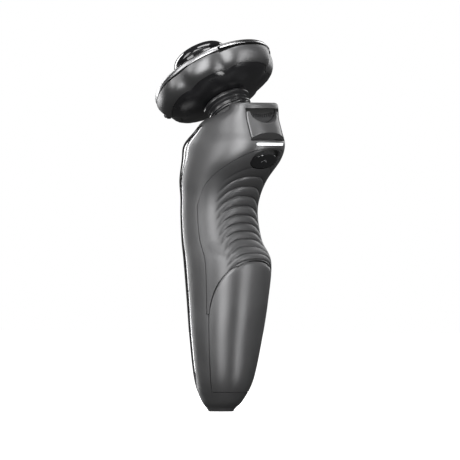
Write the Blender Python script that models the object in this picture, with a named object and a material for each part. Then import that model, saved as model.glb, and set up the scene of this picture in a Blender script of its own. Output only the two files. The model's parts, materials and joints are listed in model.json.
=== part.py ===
"""Rotary electric shaver with a leaning three-cutter head and a pop-up trimmer.

The model is in metres, +Z up. The shaver stands on its small flat foot at the origin,
its front faces -Y, and the head leans forward over the front. Lengths below are in
millimetres and are turned into metres when the meshes are made.
"""

import math

import bpy
import bmesh
from mathutils import Matrix, Vector

MM = 0.001
GAP = 0.3

# Handle skin: height, centre depth, half width and half depth of each level section.
HANDLE_SECTIONS = (
    (0.0, 0.6, 5.3, 5.1),
    (0.5, 0.6, 5.7, 5.4),
    (1.6, 0.6, 6.4, 6.1),
    (5.2, 1.3, 9.3, 8.8),
    (14.4, 2.3, 13.2, 12.3),
    (32.6, 3.5, 16.6, 14.7),
    (50.8, 4.5, 18.6, 16.7),
    (68.2, 4.5, 19.8, 18.1),
    (78.2, 1.0, 19.0, 15.9),
    (89.6, -0.6, 18.6, 15.0),
    (97.4, 0.0, 18.8, 15.6),
    (105.6, 1.9, 19.8, 18.1),
    (114.7, 6.8, 20.5, 22.0),
    (121.5, 8.7, 20.0, 23.3),
    (127.5, 11.0, 18.0, 19.8),
    (132.9, 13.4, 16.6, 15.6),
    (137.0, 19.8, 14.3, 8.2),
    (139.9, 20.6, 13.4, 7.0),
    (140.7, 20.8, 12.0, 5.8),
)
HANDLE_EXPONENT = 2.4
WALL = 3.4
SKIN = 1.3
RECESS = 2.15
BLOCK_Z = 121.0

# Front cover outline, as angle and height on the handle skin.
FRONT = -90.0
COVER_HALF_ANGLE = 60.0
COVER_BOTTOM = 6.5
COVER_CORNER = 19.0
COVER_TOP = 130.0
TRIM_GAP_ANGLE = 1.2
TRIM_ANGLE = 5.0

# Seam between the grip and the lower rear panel.
BACK = 90.0
SEAM_SIDE_ANGLE = 14.0
SEAM_SIDE_Z = 44.0
SEAM_CORNER_ANGLE = 62.0
SEAM_CORNER_Z = 66.0
SEAM_BACK_Z = 68.5
GRIP_SIDE_ANGLE = 10.0
GRIP_SIDE_Z = 94.0
GRIP_BACK_Z = 119.6
SEAM_GAP = 0.6
SEAM_COLUMNS = (10.0, 14.0, 18.0, 25.0, 35.0, 48.0, 62.0, 76.0, 90.0)

# Neck and head frame: origin at the middle of the neck mouth, local z along the neck.
NECK_BASE = (0.0, 6.4, 136.8)
HEAD_TILT = math.radians(34.0)
PIVOT = 1.9
NECK_BORE = 10.5
BOWL_BOTTOM = 6.4
BASE_TOP = 18.0
FRAME_BOTTOM = 18.4
FRAME_TOP = 21.0
FRAME_RADIUS = 28.6
BASE_RADIUS = 28.9

# Cutters.
CUTTER_ANGLES = (60.0, 180.0, 300.0)
CUTTER_DISTANCE = 15.0
POD_RADIUS = 12.0
POD_HOLE = 12.3
FOIL_TOP = 25.3
GEAR_MODULE = 1.0
CENTRAL_TEETH = 16
CUTTER_TEETH = 14
GEAR_BOTTOM = 12.2
GEAR_TOP = 14.2

# Trimmer and its release.
TRIMMER_AXIS = (0.0, 27.2, 125.4)
BAY_HALF_WIDTH = 11.2
# The bay behind the door, as depth and height: shallow at the hinge, deep behind the blades.
BAY_OUTLINE = ((25.1, 123.25), (40.0, 123.25), (40.0, 138.2), (23.3, 138.2), (23.3, 128.2), (25.1, 128.2))
DOOR_HALF_WIDTH = 10.6
DOOR_BOTTOM = 124.2
DOOR_TOP = 136.6
DOOR_DIP = 5.2
DISH_DEPTH = 28.7
DISH_SLOPE = 0.72
PIN_HALF = 11.7
RELEASE_Z = 114.0
RELEASE_HALF = (8.6, 3.1)
RELEASE_TRAVEL = 2.0

# Front controls, circuit board screws and charging inlet.
BUTTON_Z = 100.0
BUTTON_HOLE = 7.3
WINDOW_HALF = 5.0
WINDOW_LOW = 66.0
WINDOW_HIGH = 84.0
SCREW_PLACES = ((-7.8, 65.0), (7.8, 65.0), (-7.8, 103.0), (7.8, 103.0))
SOCKET_Z = 14.0
SOCKET_HALF = (3.7, 1.9)

# Colours, roughness and metallic value of each finish.
FINISHES = {
    "satin_grey": ((0.115, 0.115, 0.118), 0.42, 0.35),
    "gloss_black": ((0.012, 0.012, 0.013), 0.12, 0.0),
    "chrome": ((0.82, 0.82, 0.83), 0.08, 1.0),
    "soft_rubber": ((0.045, 0.045, 0.047), 0.55, 0.0),
    "dark_plastic": ((0.03, 0.03, 0.032), 0.4, 0.0),
    "light_guide": ((0.95, 0.97, 1.0), 0.2, 0.0),
    "steel": ((0.6, 0.6, 0.61), 0.28, 1.0),
    "white_plastic": ((0.75, 0.75, 0.72), 0.45, 0.0),
    "brass": ((0.72, 0.55, 0.25), 0.3, 1.0),
    "cell_sleeve": ((0.05, 0.18, 0.35), 0.4, 0.0),
    "circuit_green": ((0.03, 0.2, 0.09), 0.5, 0.0),
}


# ---------------------------------------------------------------- basic tools

def start_empty():
    for old in list(bpy.data.objects):
        bpy.data.objects.remove(old, do_unlink=True)


def finish_of(obj, finish):
    colour, roughness, metallic = FINISHES[finish]
    material = bpy.data.materials.new(obj.name)
    material.use_nodes = True
    shader = material.node_tree.nodes["Principled BSDF"]
    shader.inputs["Base Color"].default_value = (*colour, 1.0)
    shader.inputs["Roughness"].default_value = roughness
    shader.inputs["Metallic"].default_value = metallic
    material.diffuse_color = (*colour, 1.0)
    obj.data.materials.clear()
    obj.data.materials.append(material)


def solid(name, points, faces, finish="dark_plastic", parent=None):
    """One closed body from points in millimetres, with its faces turned outward."""
    mesh = bpy.data.meshes.new(name)
    mesh.from_pydata([Vector(p) * MM for p in points], [], faces)
    work = bmesh.new()
    work.from_mesh(mesh)
    bmesh.ops.recalc_face_normals(work, faces=work.faces)
    work.to_mesh(mesh)
    work.free()
    mesh.shade_smooth()
    mesh.set_sharp_from_angle(angle=math.radians(35))
    obj = bpy.data.objects.new(name, mesh)
    bpy.context.scene.collection.objects.link(obj)
    obj.parent = parent
    finish_of(obj, finish)
    return obj


def joint_frame(name, origin, turn=None, parent=None):
    """An empty on a joint's axis, which carries the pieces that move about it."""
    empty = bpy.data.objects.new(name, None)
    bpy.context.scene.collection.objects.link(empty)
    empty.parent = parent
    empty.matrix_local = Matrix.Translation(Vector(origin) * MM) @ (turn or Matrix())
    return empty


def combine(obj, tool, operation):
    """Apply one exact Boolean of a tool to an object and discard the tool."""
    bpy.context.view_layer.update()
    step = obj.modifiers.new("combine", "BOOLEAN")
    step.object = tool
    step.operation = operation
    step.solver = "EXACT"
    graph = bpy.context.evaluated_depsgraph_get()
    mesh = bpy.data.meshes.new_from_object(obj.evaluated_get(graph))
    obj.modifiers.clear()
    mesh.name = obj.name
    obj.data = mesh
    bpy.data.objects.remove(tool, do_unlink=True)
    mesh.shade_smooth()
    mesh.set_sharp_from_angle(angle=math.radians(35))
    keep_first_material(obj)


def keep_first_material(obj):
    while len(obj.data.materials) > 1:
        obj.data.materials.pop(index=len(obj.data.materials) - 1)
    for face in obj.data.polygons:
        face.material_index = 0


def cut(obj, tool):
    combine(obj, tool, "DIFFERENCE")


def join(obj, tool):
    combine(obj, tool, "UNION")


def arc_points(count, radius, centre=(0.0, 0.0), start=0.0):
    step = 2 * math.pi / count
    return [
        (centre[0] + radius * math.cos(start + k * step), centre[1] + radius * math.sin(start + k * step))
        for k in range(count)
    ]


def prism(name, outline, low, high, finish="dark_plastic", parent=None):
    """A flat outline in x and y, raised from one height to another."""
    count = len(outline)
    points = [(x, y, low) for x, y in outline] + [(x, y, high) for x, y in outline]
    faces = [tuple(range(count))[::-1], tuple(range(count, 2 * count))]
    for k in range(count):
        following = (k + 1) % count
        faces.append((k, following, count + following, count + k))
    return solid(name, points, faces, finish, parent)


def rod(name, radius, low, high, finish="dark_plastic", parent=None, centre=(0.0, 0.0), count=16):
    return prism(name, arc_points(count, radius, centre), low, high, finish, parent)


def cross_prism(name, outline, left, right, finish="dark_plastic", parent=None):
    """An outline in y and z, carried from one side (x) to the other."""
    count = len(outline)
    points = [(left, y, z) for y, z in outline] + [(right, y, z) for y, z in outline]
    faces = [tuple(range(count)), tuple(range(count, 2 * count))[::-1]]
    for k in range(count):
        following = (k + 1) % count
        faces.append((k, count + k, count + following, following))
    return solid(name, points, faces, finish, parent)


def cross_rod(name, radius, left, right, height, depth, finish="steel", parent=None, count=14):
    """A rod along x at the given depth (y) and height (z)."""
    return cross_prism(name, arc_points(count, radius, (depth, height)), left, right, finish, parent)


def block(name, low, high, finish="dark_plastic", parent=None):
    outline = [(low[0], low[1]), (high[0], low[1]), (high[0], high[1]), (low[0], high[1])]
    return prism(name, outline, low[2], high[2], finish, parent)


def turned(name, profile, finish="dark_plastic", parent=None, centre=(0.0, 0.0), count=24, lobes=None):
    """Turn a closed profile of (radius, height) pairs about the local z axis.

    Every radius is above zero, so the piece is a ring. The lobes function gives how far
    the outline draws in at an angle; a third value in a profile point scales it there.
    """
    rows = len(profile)
    points = []
    for k in range(count):
        angle = 2 * math.pi * k / count
        draw_in = lobes(angle) if lobes else 0.0
        for corner in profile:
            scale = corner[2] if len(corner) > 2 else 0.0
            radius = corner[0] - draw_in * scale
            points.append((
                centre[0] + radius * math.sin(angle),
                centre[1] + radius * math.cos(angle),
                corner[1],
            ))
    faces = []
    for k in range(count):
        ahead = (k + 1) % count
        for row in range(rows):
            above = (row + 1) % rows
            faces.append((k * rows + row, ahead * rows + row, ahead * rows + above, k * rows + above))
    return solid(name, points, faces, finish, parent)


def knob(name, profile, finish="dark_plastic", parent=None, centre=(0.0, 0.0), count=20):
    """Turn an open profile, first point at the bottom, and cap it flat at both ends."""
    points = []
    for radius, height in profile:
        points += [(x, y, height) for x, y in arc_points(count, radius, centre)]
    rows = len(profile)
    faces = [tuple(range(count))[::-1], tuple(range((rows - 1) * count, rows * count))]
    for row in range(rows - 1):
        for k in range(count):
            ahead = (k + 1) % count
            low, high = row * count, (row + 1) * count
            faces.append((low + k, low + ahead, high + ahead, high + k))
    return solid(name, points, faces, finish, parent)


def sheet_solid(name, outer, inner, finish="dark_plastic", parent=None):
    """A closed plate between two equal grids of points (lists of columns)."""
    columns, rows = len(outer), len(outer[0])
    points = [p for column in outer for p in column] + [p for column in inner for p in column]
    shift = columns * rows

    def at(i, j):
        return i * rows + j

    faces = []
    for i in range(columns - 1):
        for j in range(rows - 1):
            quad = (at(i, j), at(i + 1, j), at(i + 1, j + 1), at(i, j + 1))
            faces.append(quad)
            faces.append(tuple(shift + k for k in quad[::-1]))
    rim = [at(i, 0) for i in range(columns)]
    rim += [at(columns - 1, j) for j in range(1, rows)]
    rim += [at(i, rows - 1) for i in range(columns - 2, -1, -1)]
    rim += [at(0, j) for j in range(rows - 2, 0, -1)]
    for k, first in enumerate(rim):
        second = rim[(k + 1) % len(rim)]
        faces.append((second, first, shift + first, shift + second))
    return solid(name, points, faces, finish, parent)


# ---------------------------------------------------------------- handle skin

def handle_section(place):
    """Height, centre depth, half width and half depth at a place along the sections."""
    last = len(HANDLE_SECTIONS) - 1
    index = min(max(int(place), 0), last - 1)
    part = place - index
    before = HANDLE_SECTIONS[max(index - 1, 0)]
    start = HANDLE_SECTIONS[index]
    end = HANDLE_SECTIONS[index + 1]
    after = HANDLE_SECTIONS[min(index + 2, last)]
    values = []
    for a, b, c, d in zip(before, start, end, after):
        slope_in, slope_out = (c - a) / 2, (d - b) / 2
        cubic = 2 * b - 2 * c + slope_in + slope_out
        square = -3 * b + 3 * c - 2 * slope_in - slope_out
        values.append(((cubic * part + square) * part + slope_in) * part + b)
    return values


def place_at(height):
    """The place along the sections where the handle has this height."""
    low, high = 0.0, float(len(HANDLE_SECTIONS) - 1)
    for _ in range(40):
        middle = (low + high) / 2
        if handle_section(middle)[0] < height:
            low = middle
        else:
            high = middle
    return (low + high) / 2


def on_section(angle, place):
    height, centre, width, depth = handle_section(place)
    cosine, sine = math.cos(math.radians(angle)), math.sin(math.radians(angle))
    power = 2 / HANDLE_EXPONENT
    x = width * math.copysign(abs(cosine) ** power, cosine)
    y = centre + depth * math.copysign(abs(sine) ** power, sine)
    return Vector((x, y, height))


def skin(angle, place, offset=0.0):
    """A point on the handle skin, moved outward by an offset."""
    here = on_section(angle, place)
    if offset == 0.0:
        return here
    around = on_section(angle + 0.8, place) - on_section(angle - 0.8, place)
    last = len(HANDLE_SECTIONS) - 1
    upward = on_section(angle, min(place + 0.02, last)) - on_section(angle, max(place - 0.02, 0))
    normal = around.cross(upward).normalized()
    return here + normal * offset


def handle_loft(name, places, offset, count, phase, finish="satin_grey"):
    """A closed body that follows the handle skin at an offset, with flat ends."""
    points = []
    for place in places:
        ring = [skin(360 * (k + phase) / count, place, offset) for k in range(count)]
        if place in (places[0], places[-1]):
            level = handle_section(place)[0]
            ring = [Vector((p.x, p.y, level)) for p in ring]
        points += ring
    rows = len(places)
    faces = [tuple(range(count))[::-1], tuple(range((rows - 1) * count, rows * count))]
    for row in range(rows - 1):
        for k in range(count):
            ahead = (k + 1) % count
            low, high = row * count, (row + 1) * count
            faces.append((low + k, low + ahead, high + ahead, high + k))
    return solid(name, points, faces, finish)


def skin_panel(name, angles, low, high, rows, outer, inner, finish="dark_plastic"):
    """A plate on the handle skin; low and high give its ends at each angle."""
    outside, inside = [], []
    for angle in angles:
        bottom, top = low(angle), high(angle)
        places = [place_at(bottom + (top - bottom) * j / rows) for j in range(rows + 1)]
        outside.append([skin(angle, place, outer) for place in places])
        inside.append([skin(angle, place, inner) for place in places])
    return sheet_solid(name, outside, inside, finish)


def face_depth(x, height, side):
    """Depth of the rear (side 1) or front (side -1) skin at a distance from the middle."""
    _, centre, width, depth = handle_section(place_at(height))
    share = min(abs(x) / width, 0.98)
    return centre + side * depth * (1 - share ** HANDLE_EXPONENT) ** (1 / HANDLE_EXPONENT)


def back_depth(x, height):
    return face_depth(x, height, 1)


def face_panel(name, xs, low, high, rows, outer, inner_depth, finish="dark_plastic", parent=None, side=1):
    """A plate on the rear or front skin, laid out in x and z.

    Its outside is the skin moved outward by outer, which may be a function of x and z,
    and its inside follows inner_depth.
    """
    if not callable(outer):
        offset = outer

        def outer(x, z):
            return offset

    shift = Vector((0, 0, 0))
    if parent:
        bpy.context.view_layer.update()
        shift = parent.matrix_world.translation / MM
    outside, inside = [], []
    for x in xs:
        bottom, top = low(x), high(x)
        levels = [bottom + (top - bottom) * j / rows for j in range(rows + 1)]
        outside.append([Vector((x, face_depth(x, z, side) + side * outer(x, z), z)) - shift for z in levels])
        inside.append([Vector((x, inner_depth(x, z), z)) - shift for z in levels])
    return sheet_solid(name, outside, inside, finish, parent)


def spread(low, high, count):
    return [low + (high - low) * k / count for k in range(count + 1)]


def cosine_spread(centre, half, count):
    return [centre - half * math.cos(math.pi * k / count) for k in range(count + 1)]


# ---------------------------------------------------------------- outlines on the skin

def cover_low(angle, half, drop):
    side = min(abs(angle - FRONT) / half, 1.0)
    return COVER_CORNER - (COVER_CORNER - COVER_BOTTOM + drop) * math.sqrt(1 - side * side)


def seam_height(angle):
    """Height of the seam between the grip and the lower rear panel."""
    side = abs(angle - BACK)
    corner = BACK - SEAM_CORNER_ANGLE
    edge = BACK - SEAM_SIDE_ANGLE
    if side <= corner:
        return SEAM_BACK_Z - (SEAM_BACK_Z - SEAM_CORNER_Z) * (side / corner) ** 2
    run = min((side - corner) / (edge - corner), 1.0)
    rise = (1 - run ** 1.7) ** (1 / 1.7)
    return SEAM_SIDE_Z + (SEAM_CORNER_Z - SEAM_SIDE_Z) * rise


def seam_columns(side_angle, grow=0.0):
    """Angles of the columns from one side of the back to the other, ends moved out by grow."""
    half = [angle for angle in SEAM_COLUMNS if angle >= side_angle]
    angles = half + [2 * BACK - angle for angle in half[-2::-1]]
    angles[0] -= grow
    angles[-1] += grow
    return angles


def grip_top(angle):
    side = min(abs(angle - BACK) / (BACK - GRIP_SIDE_ANGLE), 1.0)
    return GRIP_SIDE_Z + (GRIP_BACK_Z - GRIP_SIDE_Z) * (1 - side ** 2.2) ** (1 / 1.5)


def grip_low(angle):
    return seam_height(angle) + SEAM_GAP


def release_edge(x, grow, rise, sign):
    """Lower (sign -1) or upper (sign 1) edge of the release's oval, raised by rise."""
    half_x, half_z = RELEASE_HALF
    side = min(abs(x) / (half_x + grow), 1.0)
    return RELEASE_Z + rise + sign * (half_z + grow) * math.sqrt(1 - side * side)


# ---------------------------------------------------------------- handle pieces

def release_tool(grow, rise):
    """The oval pocket that the trimmer release slides in."""
    xs = cosine_spread(0.0, RELEASE_HALF[0] + grow, 12)
    return face_panel(
        "release_tool", xs,
        lambda x: release_edge(x, grow, 0.0, -1) - 0.02,
        lambda x: release_edge(x, grow, rise, 1) + 0.02,
        3, 4.0, lambda x, z: back_depth(x, z) - 6.0,
    )


def rear_recess_tool():
    """The shallow recess that the grip and the lower rear panel lie in together."""
    edge = SEAM_SIDE_ANGLE - 1.0
    half = [GRIP_SIDE_ANGLE - 1.0, edge - 0.1, edge + 0.1] + [a for a in SEAM_COLUMNS if a > SEAM_SIDE_ANGLE]
    angles = half + [2 * BACK - angle for angle in half[-2::-1]]

    def bottom(angle):
        return 8.7 if abs(angle - BACK) < BACK - edge else SEAM_SIDE_Z + 0.3

    return skin_panel("rear_recess", angles, bottom, lambda a: grip_top(a) + 0.6, 18, 1.5, -RECESS)


def make_rear_housing():
    last = len(HANDLE_SECTIONS) - 1
    places = list(range(last + 1)) + [6.5, 10.5, 12.5, 13.5, 14.5, 15.5]
    housing = handle_loft("rear_housing", sorted(places), 0.0, 28, 0.5)
    cavity_levels = (5.5, 9.0, 14.4, 32.6, 50.8, 68.2, 78.2, 89.6, 97.4, 102.0, 106.0, 110.0, 114.0, 118.0, BLOCK_Z)
    cut(housing, handle_loft("cavity", [place_at(z) for z in cavity_levels], -WALL, 20, 0.3))
    half = COVER_HALF_ANGLE + 2.4 * TRIM_GAP_ANGLE + TRIM_ANGLE
    angles = cosine_spread(FRONT, half, 10)
    cut(housing, skin_panel(
        "window", angles, lambda a: cover_low(a, half, 2.5), lambda a: COVER_TOP + GAP, 9, 4.0, -4.6,
    ))
    cut(housing, rear_recess_tool())
    cut(housing, release_tool(0.4, RELEASE_TRAVEL))
    cut(housing, cross_prism("bay", BAY_OUTLINE, -BAY_HALF_WIDTH, BAY_HALF_WIDTH))
    cut(housing, block("light_pocket", (-9.6, 30.0, 120.85), (9.6, 40, 122.75)))
    neck = joint_frame("bore_frame", NECK_BASE, Matrix.Rotation(HEAD_TILT, 4, "X"))
    cut(housing, rod("neck_bore", NECK_BORE, -5.3, 20, parent=neck, count=28))
    cut(housing, rod("motor_bore", 7.6, -27.5, -5.0, parent=neck, count=20))
    bpy.data.objects.remove(neck, do_unlink=True)
    cut(housing, cross_rod("pin_bore", 0.65, -PIN_HALF - GAP, PIN_HALF + GAP, TRIMMER_AXIS[2], TRIMMER_AXIS[1]))
    return housing


def make_front_cover():
    angles = cosine_spread(FRONT, COVER_HALF_ANGLE, 10)
    cover = skin_panel(
        "front_cover", angles, lambda a: cover_low(a, COVER_HALF_ANGLE, 0.0),
        lambda a: COVER_TOP, 9, 0.0, -2.2, "gloss_black",
    )
    neck = joint_frame("bore_frame", NECK_BASE, Matrix.Rotation(HEAD_TILT, 4, "X"))
    cut(cover, rod("neck_bore", NECK_BORE, -8, 20, parent=neck, count=28))
    bpy.data.objects.remove(neck, do_unlink=True)
    cut(cover, depth_rod("button_hole", BUTTON_HOLE, 0.0, BUTTON_Z, -30.0, -8.0, count=24))
    cut(cover, depth_prism("window_hole", slot_outline(WINDOW_HALF + GAP, WINDOW_LOW, WINDOW_HIGH), -30, -8))
    half_x, half_z = SOCKET_HALF
    cut(cover, depth_prism("socket_hole", oval_outline(half_x + GAP, half_z + GAP, SOCKET_Z), -30, -1))
    return cover


def depth_prism(name, outline, near, far, finish="dark_plastic", parent=None):
    """An outline in x and z, carried from one depth (y) to another."""
    count = len(outline)
    points = [(x, near, z) for x, z in outline] + [(x, far, z) for x, z in outline]
    faces = [tuple(range(count)), tuple(range(count, 2 * count))[::-1]]
    for k in range(count):
        following = (k + 1) % count
        faces.append((k, count + k, count + following, following))
    return solid(name, points, faces, finish, parent)


def depth_rod(name, radius, x, height, near, far, finish="dark_plastic", count=12, parent=None):
    return depth_prism(name, arc_points(count, radius, (x, height)), near, far, finish, parent)


def slot_outline(half_x, low, high, steps=8):
    """A tall slot with round ends, its straight sides from low to high."""
    outline = []
    for turn, level in ((0.0, high), (math.pi, low)):
        for k in range(steps + 1):
            angle = turn + math.pi * k / steps
            outline.append((half_x * math.cos(angle), level + half_x * math.sin(angle)))
    return outline


def oval_outline(half_x, half_z, height, count=20):
    return [
        (half_x * math.cos(2 * math.pi * k / count), height + half_z * math.sin(2 * math.pi * k / count))
        for k in range(count)
    ]


def make_display_window():
    def reach(x):
        return math.sqrt(max(WINDOW_HALF ** 2 - x * x, 0.0)) + 0.02

    return face_panel(
        "display_window", cosine_spread(0.0, WINDOW_HALF, 8), lambda x: WINDOW_LOW - reach(x),
        lambda x: WINDOW_HIGH + reach(x), 3, -0.05, lambda x, z: face_depth(x, z, -1) + 1.8,
        "gloss_black", None, -1,
    )


def make_charging_socket():
    """The two-pin inlet low on the front."""
    half_x, half_z = SOCKET_HALF
    socket = depth_prism("charging_socket", oval_outline(half_x, half_z, SOCKET_Z), -9.2, -3.8, "dark_plastic")
    cut(socket, depth_prism("recess", oval_outline(half_x - 0.7, half_z - 0.6, SOCKET_Z), -12.0, -5.0))
    for x in (-1.4, 1.4):
        join(socket, depth_rod("pin", 0.45, x, SOCKET_Z, -8.0, -4.5, count=8))
    return socket


def make_front_trim():
    """The bright strip around the front cover, one U-shaped piece."""
    inner_half = COVER_HALF_ANGLE + TRIM_GAP_ANGLE
    outer_half = inner_half + TRIM_ANGLE
    top = COVER_TOP - 0.2
    side_levels = [top - (top - COVER_CORNER) * k / 9 for k in range(9)]

    def path(half, drop):
        points = [(FRONT + half, z) for z in side_levels]
        for k in range(11):
            angle = math.pi * k / 10
            depth = (COVER_CORNER - COVER_BOTTOM + drop) * math.sin(angle)
            points.append((FRONT + half * math.cos(angle), COVER_CORNER - depth))
        points += [(FRONT - half, z) for z in reversed(side_levels)]
        return points

    near, far = path(inner_half, 0.35), path(outer_half, 1.9)
    outside, inside = [], []
    for (angle_a, z_a), (angle_b, z_b) in zip(near, far):
        outside.append([skin(angle_a, place_at(z_a)), skin(angle_b, place_at(z_b))])
        inside.append([skin(angle_a, place_at(z_a), -1.6), skin(angle_b, place_at(z_b), -1.6)])
    return sheet_solid("front_trim", outside, inside, "chrome")


def make_grip():
    angles = seam_columns(GRIP_SIDE_ANGLE)
    grip = skin_panel("grip_panel", angles, grip_low, grip_top, 8, 0.0, -SKIN, "soft_rubber")
    cut(grip, release_tool(0.4, RELEASE_TRAVEL))
    return grip


def make_lower_rear_panel():
    angles = seam_columns(SEAM_SIDE_ANGLE)
    return skin_panel("lower_rear_panel", angles, lambda a: 9.0, seam_height, 6, 0.0, -SKIN, "satin_grey")


def make_light_bar():
    xs = spread(-9.2, 9.2, 8)
    return face_panel(
        "light_bar", xs, lambda x: 121.1, lambda x: 122.45, 1, 0.05, lambda x, z: 30.3, "light_guide",
    )


def make_handle_insides():
    chassis = block("chassis", (-10.0, -5.4, 26.0), (10.0, -4.2, 108.0), "dark_plastic")
    for height in (28.0, 56.0):
        join(chassis, block("saddle", (-8.8, -4.6, height), (8.8, 0.0, height + 5.0)))
    cell_centre = (0.0, 3.6)
    cut(chassis, rod("cell_room", 7.6, 14.0, 68.0, centre=cell_centre, count=24))
    knob(
        "battery_cell", [(7.1, 17.0), (7.1, 65.5), (2.6, 65.6), (2.6, 66.6)],
        "cell_sleeve", centre=cell_centre, count=20,
    )
    block("battery_contact_top", (-3.0, 0.6, 67.0), (3.0, 6.6, 67.4), "brass")
    block("battery_contact_bottom", (-3.5, 0.1, 16.3), (3.5, 7.1, 16.7), "brass")
    board = block("circuit_board", (-9.5, -7.6, 62.0), (9.5, -6.6, 106.0), "circuit_green")
    for index, (x, z) in enumerate(SCREW_PLACES, start=1):
        cut(board, depth_rod("hole", 1.1, x, z, -9, -3))
        cut(chassis, depth_rod("hole", 1.1, x, z, -9, -3))
        screw = depth_rod(f"board_screw_{index}", 0.8, x, z, -8.2, -3.4, "steel", 10)
        join(screw, depth_rod("head", 1.6, x, z, -8.7, -7.9, "steel", 12))
    depth_rod("power_switch", 2.6, 0.0, BUTTON_Z, -12.4, -7.9, "steel", 12)
    block("display_module", (-4.2, -10.6, 64.0), (4.2, -7.9, 86.0), "dark_plastic")


def make_power_button():
    frame = joint_frame("power_button_frame", (0.0, -15.2, 100.0))
    turn = Matrix.Rotation(math.radians(90), 4, "X")
    button = knob(
        "power_button", [(6.6, -1.7), (6.9, -1.2), (6.9, -0.2), (6.2, 0.35)],
        "gloss_black", frame, count=24,
    )
    button.matrix_local = turn
    return button


# ---------------------------------------------------------------- neck

def neck_frame():
    return joint_frame("neck_frame", NECK_BASE, Matrix.Rotation(HEAD_TILT, 4, "X"))


def make_neck(frame):
    collar = turned(
        "neck_collar",
        [(2.6, -5.0), (10.1, -5.0), (10.1, -1.4), (9.0, -1.4), (9.0, -4.0), (2.6, -4.0)],
        "dark_plastic", frame, count=20,
    )
    for side in (-1, 1):
        low, high = sorted((side * 6.6, side * 8.0))
        join(collar, block("lug", (low, -2.0, -4.4), (high, 2.0, 3.7), parent=frame))
    cut(collar, cross_rod("pin_hole", 1.2, -12, 12, PIVOT, 0.0, parent=frame))
    turned(
        "neck_bellows_lower",
        [(9.2, -1.0), (9.9, -1.0), (10.2, -0.4), (9.7, 0.2), (9.2, 0.2)],
        "soft_rubber", frame, count=20,
    )
    return collar


def make_gimbal(frame):
    gimbal = turned(
        "neck_gimbal", [(4.6, PIVOT - 1.1), (6.0, PIVOT - 1.1), (6.0, PIVOT + 1.1), (4.6, PIVOT + 1.1)],
        "steel", frame, count=16,
    )
    for side in (-1, 1):
        low, high = sorted((side * 5.2, side * 8.1))
        join(gimbal, cross_rod("pitch_pin", 0.85, low, high, PIVOT, 0.0, parent=frame, count=12))
        post = long_rod("roll_pin", 0.85, low, high, PIVOT, frame)
        join(gimbal, post)
    return gimbal


def long_rod(name, radius, near, far, height, parent, count=12, x=0.0, finish="steel"):
    """A rod along the local y axis at a height."""
    outline = arc_points(count, radius, (x, height))
    points = [(u, near, v) for u, v in outline] + [(u, far, v) for u, v in outline]
    faces = [tuple(range(count)), tuple(range(count, 2 * count))[::-1]]
    for k in range(count):
        following = (k + 1) % count
        faces.append((k, count + k, count + following, following))
    return solid(name, points, faces, finish, parent)


# ---------------------------------------------------------------- head

def base_lobes(angle):
    """How far the head's side draws in beside each cutter."""
    degrees = math.degrees(angle) % 120
    return sum(1.9 * math.exp(-((degrees - valley) / 9.5) ** 2) for valley in (38.0, 82.0))


def make_head_base(frame):
    outside = [
        (10.3, BOWL_BOTTOM, 0.0), (16.5, 7.3, 0.1), (21.2, 8.7, 0.5), (24.7, 10.5, 1.0),
        (26.6, 11.9, 1.0), (28.4, 14.6, 1.0), (BASE_RADIUS, BASE_TOP, 0.8),
    ]
    inside = [
        (27.1, BASE_TOP, 0.8), (26.6, 15.2, 1.0), (24.4, 13.2, 1.0), (20.6, 11.0, 0.5), (10.6, 8.4, 0.0),
        (4.7, 8.2, 0.0), (4.7, BOWL_BOTTOM, 0.0),
    ]
    base = turned("head_base", outside + inside, "satin_grey", frame, count=45, lobes=base_lobes)
    for side in (-1, 1):
        low, high = sorted((side * 6.6, side * 8.0))
        join(base, block("lug", (-2.03, low, 0.2), (2.03, high, 7.27), parent=frame))
        low, high = sorted((side * 3.0, side * 5.4))
        join(base, cross_rod("knuckle", 1.15, low, high, FRAME_BOTTOM - 0.1, -30.0, parent=frame, count=12))
        arm = block("arm", (low + 0.02, -30.4, 16.43), (high - 0.02, -28.1, 17.71), parent=frame)
        join(base, arm)
    cut(base, long_rod("roll_hole", 1.2, -12, 12, PIVOT, frame))
    cut(base, cross_rod("hinge_hole", 0.75, -8, 8, FRAME_BOTTOM - 0.1, -30.0, parent=frame))
    return base


def gear_outline(teeth, centre_tooth):
    """A gear's outline: straight-sided teeth with some backlash, from its module."""
    pitch_radius = GEAR_MODULE * teeth / 2
    root, tip = pitch_radius - 0.95 * GEAR_MODULE, pitch_radius + 0.7 * GEAR_MODULE
    pitch = 2 * math.pi / teeth
    outline = []
    for k in range(teeth):
        middle = centre_tooth + k * pitch
        for share, radius in ((-0.29, root), (-0.13, tip), (0.13, tip), (0.29, root)):
            angle = middle + share * pitch
            outline.append((radius * math.cos(angle), radius * math.sin(angle)))
    return outline


def cutter_centre(angle):
    turn = math.radians(angle)
    return CUTTER_DISTANCE * math.sin(turn), CUTTER_DISTANCE * math.cos(turn)


def make_drive(frame):
    shaft = knob(
        "drive_shaft", [(0.9, -24.5), (0.9, -6.6), (1.3, -6.4), (1.3, PIVOT - 2.0), (2.2, PIVOT - 0.9),
                        (2.2, PIVOT + 0.9), (1.3, PIVOT + 2.0)],
        "steel", frame, count=6,
    )
    armature = turned(
        "motor_armature", [(1.2, -22.5), (5.0, -22.5), (5.0, -9.5), (1.2, -9.5)], "brass", frame, count=12,
    )
    case = turned(
        "motor_case",
        [(5.6, -23.4), (5.6, -8.0), (1.8, -8.0), (1.8, -7.0), (6.9, -7.0), (6.9, -23.4)],
        "steel", frame, count=20,
    )
    cap = turned(
        "motor_end_cap", [(1.5, -24.9), (6.9, -24.9), (6.9, -23.7), (1.5, -23.7)], "white_plastic", frame, count=20,
    )
    return shaft, armature, case, cap


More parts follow.
